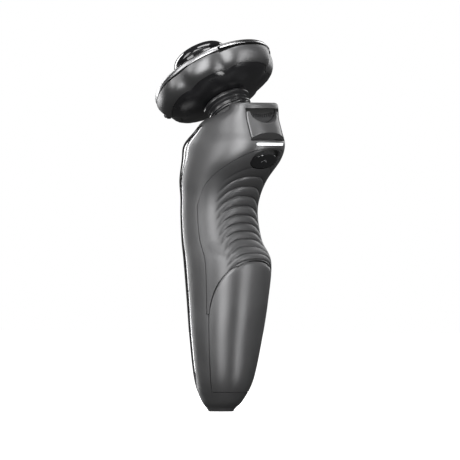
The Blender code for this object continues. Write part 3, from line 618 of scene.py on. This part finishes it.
def circuit_material():
    """Green solder mask with lighter tracks under it."""
    made = material("circuit board", (0.02, 0.16, 0.07), 0.35, coat=0.4, spread_of=(0.2, 0.05))
    nodes, links = made.node_tree.nodes, made.node_tree.links
    tracks = nodes.new("ShaderNodeTexBrick")
    tracks.inputs["Scale"].default_value = 260.0
    tracks.inputs["Color1"].default_value = (0.015, 0.12, 0.05, 1.0)
    tracks.inputs["Color2"].default_value = (0.02, 0.17, 0.07, 1.0)
    tracks.inputs["Mortar"].default_value = (0.05, 0.3, 0.13, 1.0)
    tracks.inputs["Mortar Size"].default_value = 0.03
    place = nodes.new("ShaderNodeTexCoord")
    turn = nodes.new("ShaderNodeMapping")
    turn.inputs["Rotation"].default_value = (math.radians(90), 0.0, 0.0)
    links.new(place.outputs["Object"], turn.inputs["Vector"])
    links.new(turn.outputs["Vector"], tracks.inputs["Vector"])
    links.new(tracks.outputs["Color"], nodes["Principled BSDF"].inputs["Base Color"])
    return made


def make_materials():
    return {
        "satin": material(
            "satin grey coat", (0.125, 0.125, 0.127), 0.44,
            metallic=0.7, coat=0.08, coat_roughness=0.4, spread_of=(0.05, 0.04), grain=(2600, 0.004),
        ),
        "grip": material(
            "soft grip coat", (0.1, 0.1, 0.102), 0.47,
            metallic=0.6, coat=0.06, coat_roughness=0.4, spread_of=(0.05, 0.05), grain=(3200, 0.01),
        ),
        "band": material(
            "satin head band", (0.14, 0.14, 0.142), 0.42,
            metallic=0.85, coat=0.05, coat_roughness=0.4, spread_of=(0.04, 0.03), grain=(2600, 0.003),
        ),
        "bowl": material(
            "gloss black bowl", (0.01, 0.01, 0.011), 0.3,
            coat=0.5, coat_roughness=0.25, spread_of=(0.1, 0.05), grain=(700, 0.004),
        ),
        "gloss": material(
            "gloss black", (0.008, 0.008, 0.009), 0.12,
            coat=0.9, coat_roughness=0.05, spread_of=(0.1, 0.04), grain=(500, 0.003),
        ),
        "chrome": material(
            "chrome plate", (0.5, 0.5, 0.505), 0.26,
            metallic=1.0, spread_of=(0.02, 0.04), grain=(900, 0.002),
        ),
        "frame": material(
            "satin chrome", (0.3, 0.3, 0.305), 0.36,
            metallic=1.0, spread_of=(0.03, 0.04), grain=(1200, 0.002),
        ),
        # Near-black and matte: painted shade for the trimmer bay's deep recess.
        "bay_shade": material(
            "bay painted shade", (0.012, 0.012, 0.012), 0.55,
            spread_of=(0.15, 0.08), grain=(1500, 0.02),
        ),
        "comb": material(
            "dark comb steel", (0.09, 0.09, 0.092), 0.4,
            metallic=0.8, spread_of=(0.08, 0.06), grain=(1500, 0.006),
        ),
        "dark": material(
            "dark moulded plastic", (0.02, 0.02, 0.021), 0.38,
            coat=0.1, coat_roughness=0.3, spread_of=(0.12, 0.06), grain=(1800, 0.012),
        ),
        "rubber": material(
            "bellows rubber", (0.016, 0.016, 0.017), 0.3,
            coat=0.35, coat_roughness=0.25, spread_of=(0.12, 0.06), grain=(1500, 0.01),
        ),
        "guard": material(
            "etched guard steel", (0.34, 0.34, 0.345), 0.36,
            metallic=1.0, spread_of=(0.05, 0.05), grain=(1800, 0.006),
        ),
        "steel": material(
            "ground steel", (0.58, 0.58, 0.59), 0.28,
            metallic=1.0, spread_of=(0.06, 0.07), grain=(1200, 0.008), blotch=80.0,
            stretch=(1.0, 1.0, 14.0),
        ),
        "blade": material(
            "honed steel", (0.68, 0.68, 0.69), 0.2,
            metallic=1.0, spread_of=(0.05, 0.06), grain=(2200, 0.004),
        ),
        "acetal": material(
            "white acetal", (0.72, 0.72, 0.69), 0.42,
            coat=0.1, coat_roughness=0.3, spread_of=(0.04, 0.05), grain=(1500, 0.01),
        ),
        "brass": material(
            "plated brass", (0.75, 0.56, 0.26), 0.26,
            metallic=1.0, spread_of=(0.08, 0.08), grain=(1500, 0.008),
        ),
        "copper": material(
            "copper windings", (0.62, 0.27, 0.13), 0.34,
            metallic=1.0, spread_of=(0.16, 0.08), grain=(1400, 0.06), blotch=300.0,
            stretch=(1.0, 1.0, 8.0),
        ),
        "sleeve": material(
            "cell sleeve", (0.03, 0.12, 0.28), 0.32,
            coat=0.5, coat_roughness=0.2, spread_of=(0.08, 0.05), grain=(900, 0.01),
        ),
        "circuit": circuit_material(),
        "light": glowing("light guide", (0.96, 0.98, 1.0), 0.9),
        # Near-black and matte: painted shade for the gaps between the head's band and frame.
        "gap_shade": material(
            "gap painted shade", (0.004, 0.004, 0.004), 0.6,
            spread_of=(0.2, 0.08), grain=(1500, 0.02),
        ),
        "mark": material(
            "printed mark", (0.22, 0.22, 0.23), 0.4,
            metallic=0.2, spread_of=(0.05, 0.05), grain=(1500, 0.004),
        ),
    }


# ---------------------------------------------------------------- handle pieces

def depth_tool(name, outline, near, far):
    return extruded(name, outline, near, far, along_y)


def oval(half_x, half_z, height, count=48):
    step = 2 * math.pi / count
    return [(half_x * math.cos(k * step), height + half_z * math.sin(k * step)) for k in range(count)]


def slot_outline(half_x, low, high, steps=16):
    outline = []
    for turn, height in ((0.0, high), (math.pi, low)):
        for k in range(steps + 1):
            angle = turn + math.pi * k / steps
            outline.append((half_x * math.cos(angle), height + half_x * math.sin(angle)))
    return outline


def release_tool(grow, rise):
    return face_panel(
        "release_tool", eased(-RELEASE_HALF[0] - grow, RELEASE_HALF[0] + grow, 32),
        lambda x: release_edge(x, grow, 0.0, -1) - 0.02, lambda x: release_edge(x, grow, rise, 1) + 0.02,
        3, level(4.0), lambda x, z: face_depth(x, z) - RELEASE_POCKET,
    )


def rear_recess_tool():
    edge = SEAM_SIDE_ANGLE - 1.0
    angles = [GRIP_SIDE_ANGLE - 1.0, edge - 0.1, edge + 0.1] + spread(edge + 2.0, 180 - edge - 2.0, 60)
    angles += [180 - edge - 0.1, 180 - edge + 0.1, 181 - GRIP_SIDE_ANGLE]

    def bottom(angle):
        return PANEL_BOTTOM - GAP if abs(angle - BACK) < BACK - edge else SEAM_SIDE_Z + GAP

    return skin_panel("rear_recess", angles, bottom, lambda a: grip_top(a) + GAP, 60, 1.5, -RECESS)


def make_rear_housing(looks):
    last = len(HANDLE_SECTIONS) - 1
    housing = loft("rear_housing_look", spread(0.0, float(last), 8 * last), 0.0, 144, 0.5)
    combine(housing, loft("cavity", [place_at(z) for z in CAVITY_LEVELS], -WALL, 20, 0.3))
    half = COVER_HALF_ANGLE + 2.4 * TRIM_GAP_ANGLE + TRIM_ANGLE
    combine(housing, skin_panel(
        "window", eased(FRONT - half, FRONT + half, 40), lambda a: cover_low(a, half, 2.5),
        lambda a: COVER_TOP + GAP, 60, 4.0, -WINDOW_DEPTH,
    ))
    combine(housing, rear_recess_tool())
    combine(housing, release_tool(RELEASE_GAP, RELEASE_TRAVEL))
    combine(housing, extruded("bay", BAY_OUTLINE, -BAY_HALF_WIDTH, BAY_HALF_WIDTH, along_x))
    combine(housing, depth_tool("light_pocket", rectangle(*LIGHT_POCKET), 30.0, 40.0))
    combine(housing, extruded("neck_bore", circle(NECK_BORE, 96), -5.3, 20.0, along_z, in_world))
    combine(housing, extruded("motor_bore", circle(MOTOR_BORE, 32), -27.5, -5.0, along_z, in_world))
    shade_by_skin(housing)
    return finished(housing, looks["satin"], "handle", ["rear_housing"])


def make_front_cover(looks):
    cover = skin_panel(
        "front_cover_look", eased(FRONT - COVER_HALF_ANGLE, FRONT + COVER_HALF_ANGLE, 56),
        lambda a: cover_low(a, COVER_HALF_ANGLE, 0.0), lambda a: COVER_TOP, 90, 0.0, -COVER_THICKNESS,
    )
    combine(cover, extruded("neck_bore", circle(NECK_BORE, 96), -8.0, 20.0, along_z, in_world))
    combine(cover, depth_tool("button_hole", circle(BUTTON_HOLE, 64, (0.0, BUTTON_Z)), -30.0, -8.0))
    window = slot_outline(WINDOW_HALF + GAP, WINDOW_LOW, WINDOW_HIGH)
    combine(cover, depth_tool("window_hole", window, -30.0, -8.0))
    socket = oval(SOCKET_HALF[0] + GAP, SOCKET_HALF[1] + GAP, SOCKET_Z)
    combine(cover, depth_tool("socket_hole", socket, -30.0, -1.0))
    shade_by_skin(cover)
    return finished(cover, looks["gloss"], "handle", ["front_cover"])


def make_front_trim(looks):
    """The bright strip round the cover, slightly crowned, with a dark lip on its outer side."""
    inner_half = COVER_HALF_ANGLE + TRIM_GAP_ANGLE
    outer_half = inner_half + TRIM_ANGLE
    top = COVER_TOP - 0.2

    def path(share):
        half = inner_half + (outer_half - inner_half) * share
        drop = 0.35 + (1.9 - 0.35) * share
        points = [(FRONT + half, z) for z in spread(top, COVER_CORNER, 90)[:-1]]
        for k in range(49):
            angle = math.pi * k / 48
            fall = (COVER_CORNER - COVER_BOTTOM + drop) * math.sin(angle)
            points.append((FRONT + half * math.cos(angle), COVER_CORNER - fall))
        points += [(FRONT - half, z) for z in spread(COVER_CORNER, top, 90)[1:]]
        return points

    shares = (0.0, 0.1, 0.28, 0.5, 0.72, 0.9, 1.0)
    heights = (-0.75, -0.42, -0.1, 0.0, -0.1, -0.42, -0.75)
    paths = [path(share) for share in shares]
    outside, inside = [], []
    for stop in zip(*paths):
        outside.append([skin(a, place_at(z), h) for (a, z), h in zip(stop, heights)])
        inside.append([skin(a, place_at(z), -1.6) for a, z in stop])
    trim = plate("front_trim_look", outside, inside)
    return finished(trim, looks["chrome"], "handle", ["front_trim"])


def rib_relief(angle, z):
    """Depth of the grip's ribs below the skin: soft waves that gain a sharp groove at the back."""
    side = abs(angle - BACK)
    level_z = z + RIB_DROOP * min(side / RIB_REACH, 1.6) ** 2.2
    root = math.sqrt(RIB_STEP ** 2 + 4 * RIB_GROWTH * max(level_z - RIB_LOW, 0.0))
    index = (root - RIB_STEP) / (2 * RIB_GROWTH)
    if level_z < RIB_LOW:
        index = (level_z - RIB_LOW) / RIB_STEP
    fade = 1 - smooth_step(side, RIB_REACH * 0.6, RIB_REACH * 1.08)
    fade *= 1 - smooth_step(index, RIB_COUNT - 0.4, RIB_COUNT + 0.3)
    fade *= smooth_step(index, -0.8, -0.2)
    away = abs(index - round(index))
    wave = 0.5 + 0.5 * math.cos(2 * math.pi * index)
    near_back = 1 - smooth_step(side, 20.0, 42.0)
    crease = math.exp(-(away / CREASE_WIDTH) ** 2) * near_back
    return -fade * ((RIB_WAVE - 0.16 * near_back) * wave ** 1.5 + CREASE_DEPTH * crease)


def make_grip(looks):
    angles = eased(GRIP_SIDE_ANGLE, 180 - GRIP_SIDE_ANGLE, 150)
    grip = skin_panel(
        "grip_panel_look", angles, lambda a: seam_height(a) + SEAM_GAP, grip_top, 300, rib_relief, -SKIN,
    )
    combine(grip, release_tool(RELEASE_GAP, RELEASE_TRAVEL))
    return finished(grip, looks["grip"], "handle", ["grip_panel"])


def make_lower_rear_panel(looks):
    """The lower panel, its upper edge rolled in."""

    def relief(angle, z):
        edge = seam_height(angle) - z
        return -0.5 * math.exp(-(edge / 0.7) ** 2)

    angles = spread(SEAM_SIDE_ANGLE, 180 - SEAM_SIDE_ANGLE, 120)
    panel = skin_panel(
        "lower_rear_panel_look", angles, lambda a: PANEL_BOTTOM, seam_height, 90, relief, -SKIN,
    )
    return finished(panel, looks["satin"], "handle", ["lower_rear_panel"])


def make_light_bar(looks):
    half_length, half_height = LIGHT_BAR_HALF

    def end_round(x):
        return half_height * math.sqrt(max(1 - max(abs(x) - 8.3, 0.0) ** 2 / 0.52 ** 2, 0.0))

    bar = face_panel(
        "light_bar_look", eased(-half_length, half_length, 60), lambda x: LIGHT_BAR_Z - end_round(x),
        lambda x: LIGHT_BAR_Z + end_round(x), 4, level(0.05), lambda x, z: 30.35,
    )
    return finished(bar, looks["light"], "handle", ["light_bar"])


def make_window(looks):
    def reach(x):
        return math.sqrt(max(WINDOW_HALF ** 2 - x * x, 0.0)) + 0.02

    window = face_panel(
        "display_window_look", eased(-WINDOW_HALF, WINDOW_HALF, 32), lambda x: WINDOW_LOW - reach(x),
        lambda x: WINDOW_HIGH + reach(x), 40, level(-0.05), lambda x, z: face_depth(x, z, -1) + 1.8, -1,
    )
    return finished(window, looks["gloss"], "handle", ["display_window"])


def make_button(looks):
    """The power button: a dished cap with a rounded edge and a plain ring and bar on it."""
    front_y = -15.2

    def facing(point):
        return Vector((point[0], front_y - point[2], BUTTON_Z + point[1]))

    cap = knob("power_button_look", [
        (6.6, -1.7), (6.9, -1.2), (6.9, -0.25), (6.8, 0.05), (6.55, 0.25), (6.2, 0.32),
        (5.4, 0.22), (4.0, 0.08), (2.0, 0.0), (0.4, -0.02),
    ], 72, facing)
    finished(cap, looks["gloss"], "power_button", ["power_button"])
    sign = ring("power_mark", [(1.9, 0.0), (1.9, 0.09), (2.25, 0.11), (2.25, 0.02)], 48, facing,
                keep=lambda k, row: not (20 <= k <= 28))
    finished(sign, looks["mark"], "power_button", ())
    bar = extruded("power_mark_bar", rectangle((-0.17, -2.4), (0.17, -0.9)), 0.0, 0.1, along_z, facing)
    finished(bar, looks["mark"], "power_button", ())


# ---------------------------------------------------------------- neck

def make_bellows(looks):
    """The neck's rubber bellows, made in a lower and an upper half."""
    lower = [
        (9.1, -1.2), (9.6, -1.1), (9.95, -0.8), (9.9, -0.45), (9.5, -0.25), (9.6, 0.0),
        (10.2, 0.25), (10.25, 0.7), (9.7, 1.0), (9.0, 1.2), (8.8, 1.5), (8.9, 1.9),
    ]
    upper = [
        (8.9, 1.95), (9.1, 2.25), (9.6, 2.5), (9.85, 2.8), (9.8, 3.1), (9.5, 3.35), (9.8, 3.65), (10.7, 3.85),
        (11.15, 4.2), (11.25, 4.65), (11.15, 5.1), (10.7, 5.35), (10.2, 5.5), (10.2, 5.75), (9.8, 6.1),
    ]

    def walled(profile):
        return profile + [(r - 0.5, a) for r, a in reversed(profile)]

    low = ring("neck_bellows_lower_look", walled(lower), 96, in_world)
    low.data.materials.append(looks["rubber"])
    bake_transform(low)
    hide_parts("neck_bellows_lower")
    high = ring("neck_bellows_upper_look", walled(upper), 96, in_world)
    high.data.materials.append(looks["rubber"])
    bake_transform(high)
    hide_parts("neck_bellows_upper")


# ---------------------------------------------------------------- head

def base_lobes(angle):
    """How far the head's side draws in beside each cutter."""
    degrees = math.degrees(angle) % 120
    shares = [math.exp(-((degrees - valley) / LOBE_WIDTH) ** 2) for valley in LOBE_VALLEYS]
    return LOBE_DEPTH * sum(shares)


def make_head_base(looks):
    """The satin band with its wavy lower edge, and the glossy bowl under it."""
    band = ring("head_band", [
        (24.5, 10.65, 1.2), (24.75, 10.45, 1.2), (25.1, 10.6, 1.2), (26.7, 11.9, 1.1), (27.6, 13.1, 1.05),
        (28.3, 14.5, 1.0), (BASE_RADIUS, 16.6, 0.85), (28.85, 17.8, 0.6), (28.5, 18.1, 0.5),
        (27.1, BASE_TOP, 0.8), (26.6, 15.2, 1.0), (24.4, 13.2, 1.0),
    ], 360, in_world, lobes=base_lobes)
    combine(band, arc_strip("tab_gap", 26.0, 30.0, 17.3, 19.0, TAB_HALF_ANGLE))
    finished(band, looks["band"], "head", ["head_base"])
    bowl = ring("head_bowl", [
        (4.7, 6.4), (10.0, 6.4), (10.4, 6.42), (13.5, 6.85), (16.5, 7.35, 0.1), (19.2, 8.05, 0.3),
        (21.4, 8.8, 0.6), (23.2, 9.6, 0.9), (24.45, 10.5, 1.2), (24.3, 12.4, 1.1), (20.6, 11.0, 0.5),
        (10.6, 8.4, 0.0), (4.7, 8.2),
    ], 300, in_world, lobes=base_lobes)
    finished(bowl, looks["bowl"], "head", ())


def make_head_fittings(looks):
    """The hinge knuckles at the front of the head, their arms, and the lugs inside it."""
    height, depth = LID_HINGE
    outline = circle(KNUCKLE_RADIUS, 32, (depth, height))
    for side, label in ((-1, "left"), (1, "right")):
        near, far = sorted((side * 3.0, side * 5.4))
        knuckle = extruded(f"head_knuckle_{label}", outline, near, far, along_x, in_world)
        softened(knuckle, 0.2)
        finished(knuckle, looks["bowl"], "head", ())
        arm = extruded(
            f"head_arm_{label}", rectangle((-30.2, 16.45), (-28.0, 17.7)), near + 0.02, far - 0.02,
            along_x, in_world,
        )
        softened(arm, 0.2)
        finished(arm, looks["bowl"], "head", ())
        near, far = sorted((side * 6.6, side * 8.0))
        lug = extruded(
            f"head_lug_{label}", rectangle((near, 0.4), (far, 7.0)), -2.0, 2.0, along_x, in_world,
        )
        softened(lug, 0.3)
        finished(lug, looks["dark"], "head", ())


def arc_strip(name, inner, outer, low, high, half_angle, steps=60):
    """A piece of a ring at the back of the head, between two radii and two heights."""
    angles = [math.radians(a) for a in spread(-half_angle, half_angle, steps)]
    levels = (low, (low + high) / 2, high)
    outside = [[(outer * math.sin(a), outer * math.cos(a), z) for z in levels] for a in angles]
    inside = [[(inner * math.sin(a), inner * math.cos(a), z) for z in levels] for a in angles]
    return plate(name, outside, inside, in_world)


def make_frame(looks):
    """The bright frame that carries the cutters, with the release tab's pocket at the back."""
    frame = knob("chrome_frame_look", [
        (28.2, FRAME_BOTTOM), (28.5, 18.5), (FRAME_RADIUS, 18.7), (FRAME_RADIUS, 20.0), (28.5, 20.3),
        (28.2, 20.6), (27.8, 20.85), (27.2, FRAME_TOP),
    ], 240, in_world)
    for angle in CUTTER_ANGLES:
        outline = circle(POD_HOLE, 96, cutter_centre(angle))
        combine(frame, extruded("hole", outline, 15.0, 25.0, along_z, in_world))
    combine(frame, arc_strip("pocket", 26.0, 30.0, 15.0, 19.95, TAB_HALF_ANGLE))
    finished(frame, looks["frame"], "head_lid", ["chrome_frame"])
    top = knob("frame_face", [(26.7, 20.95), (26.6, 21.12), (26.2, 21.2)], 200, in_world)
    for angle in CUTTER_ANGLES:
        outline = circle(POD_HOLE + 0.15, 96, cutter_centre(angle))
        combine(top, extruded("hole", outline, 15.0, 25.0, along_z, in_world))
    finished(top, looks["dark"], "head_lid", ())
    # A near-black strip behind the tab pocket and a near-black ring under the frame, seen through the band's
    # tab gap: painted shade of these gaps.
    gap_shade = arc_strip("frame_pocket_shade", 25.7, 26.3, 18.45, 19.9, 37.5)
    finished(gap_shade, looks["gap_shade"], "head_lid", ())
    gap_ring = ring("head_gap_shade", [(25.9, 17.3), (26.9, 17.3), (26.9, 18.1), (25.9, 18.1)], 200, in_world)
    finished(gap_ring, looks["gap_shade"], "head_lid", ())
    tab = arc_strip("release_tab_look", 27.2, 28.8, 18.75, 19.5, 36.0)
    softened(tab, 0.15, 3)
    finished(tab, looks["chrome"], "head_release", ["head_release_tab"])
    height, depth = LID_HINGE
    outline = circle(KNUCKLE_RADIUS, 32, (depth, height))
    knuckle = extruded("frame_knuckle", outline, -2.6, 2.6, along_x, in_world)
    softened(knuckle, 0.2)
    finished(knuckle, looks["chrome"], "head_lid", ())


def make_cutter(index, angle, looks):
    """A cutter: its black ring, its slotted guard and the boss in the middle."""
    centre = cutter_centre(angle)
    cup = ring(f"cutter_ring_{index}_look", [
        (9.8, 19.5), (11.7, 19.5), (12.0, 19.8), (12.0, 22.3), (12.3, 22.55), (12.7, 22.9), (12.8, 23.4),
        (12.7, 24.1), (12.3, 25.0), (11.7, 25.8), (11.0, 26.35), (10.3, 26.6), (9.95, 26.6), (9.75, 26.3),
    ], 128, in_world, centre)
    finished(cup, looks["gloss"], f"cutter_pod_{index}", [f"cutter_ring_{index}"])

    def slotted(k, row):
        return k % 2 == 0 or row not in SLOTTED_ROWS

    guard = ring(f"cutter_foil_{index}_look", [
        (9.5, 22.9), (9.5, 26.2), (9.3, 26.7), (9.0, 26.88), (7.4, 26.9), (5.6, 26.9), (5.2, 26.8),
        (2.2, 26.55), (1.5, 26.45), (1.5, 26.2), (5.4, 26.45), (8.7, 26.55), (8.8, 22.9),
    ], 2 * GUARD_BARS, in_world, centre, keep=slotted)
    finished(guard, looks["guard"], f"cutter_pod_{index}", [f"cutter_foil_{index}"])
    boss = knob(f"cutter_boss_{index}", [
        (1.42, 26.3), (1.42, 26.7), (1.2, 26.9), (0.5, 26.96),
    ], 48, in_world, centre)
    finished(boss, looks["dark"], f"cutter_pod_{index}", ())


# ---------------------------------------------------------------- trimmer

def make_trimmer(looks):
    def door_top(x):
        return DOOR_TOP - DOOR_DIP * math.sqrt(max(1 - (x / DIP_HALF) ** 2, 0.0))

    def door_outside(x, z):
        """The finger dish low on the door, with a soft upper edge, and a rounded rim."""
        dish = DISH_DEPTH + DISH_SLOPE * (z - DOOR_BOTTOM) - face_depth(x, z)
        height = z - DOOR_BOTTOM
        reach = DISH_HALF * math.sqrt(max(1 - (height / DISH_HEIGHT) ** 2, 0.0))
        reach += (DOOR_HALF_WIDTH + 2.5 - DISH_HALF) * (1 - smooth_step(height, 2.0, 3.2))
        blend = smooth_step(abs(x), reach - 2.4, reach + 0.4)
        lowered = min(dish, 0.0) * (1 - blend) + -0.1 * blend
        rim = min(DOOR_HALF_WIDTH - abs(x), door_top(x) - z)
        return min(lowered, -0.1) - 0.22 * math.exp(-(rim / 0.25) ** 2)

    def door_inside(x, z):
        return 25.9 - 0.4 * min(max((z - 127.0) / 0.8, 0.0), 1.0)

    # The bay's back wall and ceiling are near-black plates: painted shade of the recess.
    wall = extruded("bay_back", rectangle((-11.15, 128.3), (11.15, 138.3)), 23.0, 23.38, along_y)
    finished(wall, looks["bay_shade"], "handle", ())
    ceiling = extruded("bay_ceiling", rectangle((-10.2, 138.1), (10.2, 138.4)), 23.1, 25.2, along_y)
    finished(ceiling, looks["bay_shade"], "handle", ())
    door = face_panel(
        "trimmer_door_look", eased(-DOOR_HALF_WIDTH, DOOR_HALF_WIDTH, 72), lambda x: DOOR_BOTTOM, door_top,
        72, door_outside, door_inside,
    )
    return finished(door, looks["satin"], "trimmer", ["trimmer_door"])


def make_release(looks):
    """The oval release: dished for the thumb, with a plain raised arrow head."""

    def dish(x, z):
        along, across = x / RELEASE_HALF[0], (z - RELEASE_Z) / RELEASE_HALF[1]
        share = min(along * along + across * across, 1.0)
        return -0.3 - 0.9 * (1 - share) ** 1.2 - 0.25 * smooth_step(share, 0.88, 1.0)

    oval_piece = face_panel(
        "trimmer_release_look", eased(-RELEASE_HALF[0], RELEASE_HALF[0], 72),
        lambda x: release_edge(x, 0.0, 0.0, -1) - 0.01, lambda x: release_edge(x, 0.0, 0.0, 1) + 0.01,
        28, dish, lambda x, z: face_depth(x, z) - 2.0,
    )
    finished(oval_piece, looks["gloss"], "trimmer_release", ["trimmer_release"])
    arrow = face_panel(
        "release_arrow", spread(-1.7, 1.7, 12), lambda x: RELEASE_Z + 0.35 - 0.5 * abs(x),
        lambda x: RELEASE_Z + 0.7 - 0.5 * abs(x), 2, lambda x, z: dish(x, z) + 0.08,
        lambda x, z: face_depth(x, z) + dish(x, z) - 0.3,
    )
    finished(arrow, looks["mark"], "trimmer_release", ())


# ---------------------------------------------------------------- carried-over solids

def finish_solids(looks):
    """Give every solid that stays in view its finish."""
    chosen = {
        "battery_cell": "sleeve", "battery_contact_top": "brass", "battery_contact_bottom": "brass",
        "chassis": "dark", "circuit_board": "circuit", "power_switch": "steel", "display_module": "dark",
        "charging_socket": "dark", "neck_collar": "dark", "motor_case": "steel", "motor_end_cap": "acetal",
        "trimmer_hinge_pin": "steel", "drive_shaft": "steel", "motor_armature": "copper",
        "neck_gimbal": "steel",
        "gear_plate": "steel", "central_gear": "acetal", "coupling_cup": "acetal", "retaining_frame": "dark",
        "head_centre_cap": "dark", "head_hinge_pin": "steel", "trimmer_comb": "comb", "trimmer_blade": "comb",
    }
    for index in range(1, 5):
        chosen[f"board_screw_{index}"] = "steel"
    for index in range(1, 4):
        chosen[f"cutter_gear_{index}"] = "acetal"
        chosen[f"cutter_spindle_{index}"] = "steel"
        chosen[f"rotary_blade_{index}"] = "blade"
    for node, look in chosen.items():
        mesh = frame["nodes"][node].data
        mesh.materials.clear()
        mesh.materials.append(looks[look])


# ---------------------------------------------------------------- studio

def area_light(name, place, target, size, power):
    data = bpy.data.lights.new(name, "AREA")
    data.shape = "RECTANGLE"
    data.size, data.size_y = size[0] * MM, size[1] * MM
    data.energy = power
    light = bpy.data.objects.new(name, data)
    light.location = Vector(place) * MM
    light.rotation_euler = (Vector(target) - Vector(place)).to_track_quat("-Z", "Y").to_euler()
    bpy.context.scene.collection.objects.link(light)
    return light


def seen_from(azimuth, elevation, distance, centre):
    """A place at an azimuth about the object: 0 is in front of it, 90 to its +X side."""
    a, e = math.radians(azimuth), math.radians(elevation)
    direction = Vector((math.sin(a) * math.cos(e), -math.cos(a) * math.cos(e), math.sin(e)))
    return Vector(centre) + direction * distance


def make_studio():
    scene = bpy.context.scene
    scene.view_settings.view_transform = "Standard"
    world = bpy.data.worlds.new("studio")
    world.use_nodes = True
    scene.world = world
    nodes, links = world.node_tree.nodes, world.node_tree.links
    dim = nodes["Background"]
    dim.inputs["Color"].default_value = (1.0, 1.0, 1.0, 1.0)
    dim.inputs["Strength"].default_value = 0.05
    bright = nodes.new("ShaderNodeBackground")
    bright.inputs["Color"].default_value = (1.0, 1.0, 1.0, 1.0)
    bright.inputs["Strength"].default_value = 1.0
    path = nodes.new("ShaderNodeLightPath")
    mix = nodes.new("ShaderNodeMixShader")
    links.new(path.outputs["Is Camera Ray"], mix.inputs["Fac"])
    links.new(dim.outputs["Background"], mix.inputs[1])
    links.new(bright.outputs["Background"], mix.inputs[2])
    links.new(mix.outputs["Shader"], nodes["World Output"].inputs["Surface"])

    corners = rectangle((-FLOOR_HALF, -FLOOR_HALF), (FLOOR_HALF, FLOOR_HALF))
    floor = raw("floor", [(x, y, 0) for x, y in corners], [(0, 1, 2, 3)])
    paint = material(
        "pale floor", (0.9, 0.9, 0.9), 0.9, spread_of=(0.005, 0.02), grain=(40, 0.01), blotch=3.0,
    )
    shader = paint.node_tree.nodes["Principled BSDF"]
    shader.inputs["Emission Color"].default_value = (1.0, 1.0, 1.0, 1.0)
    shader.inputs["Emission Strength"].default_value = 1.15
    floor.data.materials.append(paint)
    floor.visible_glossy = False
    floor.visible_diffuse = False

    for name, azimuth, elevation, distance, size, power in LIGHTS:
        area_light(name, seen_from(azimuth, elevation, distance, AIM), AIM, size, power)

    data = bpy.data.cameras.new("camera")
    data.lens, data.sensor_width = LENS, SENSOR
    data.clip_end = 20.0
    camera = bpy.data.objects.new("camera", data)
    place = seen_from(CAMERA_AZIMUTH, 0.0, FRAME_WIDTH * LENS / SENSOR, AIM)
    camera.location = place * MM
    camera.rotation_euler = (Vector(AIM) - place).to_track_quat("-Z", "Y").to_euler()
    scene.collection.objects.link(camera)
    scene.camera = camera


# ---------------------------------------------------------------- assembly

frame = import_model()
looks = make_materials()
make_studio()
make_rear_housing(looks)
make_front_cover(looks)
make_front_trim(looks)
make_grip(looks)
make_lower_rear_panel(looks)
make_light_bar(looks)
make_window(looks)
make_button(looks)
make_bellows(looks)
make_head_base(looks)
make_head_fittings(looks)
make_frame(looks)
for number, turn in enumerate(CUTTER_ANGLES, start=1):
    make_cutter(number, turn, looks)
make_trimmer(looks)
make_release(looks)
finish_solids(looks)
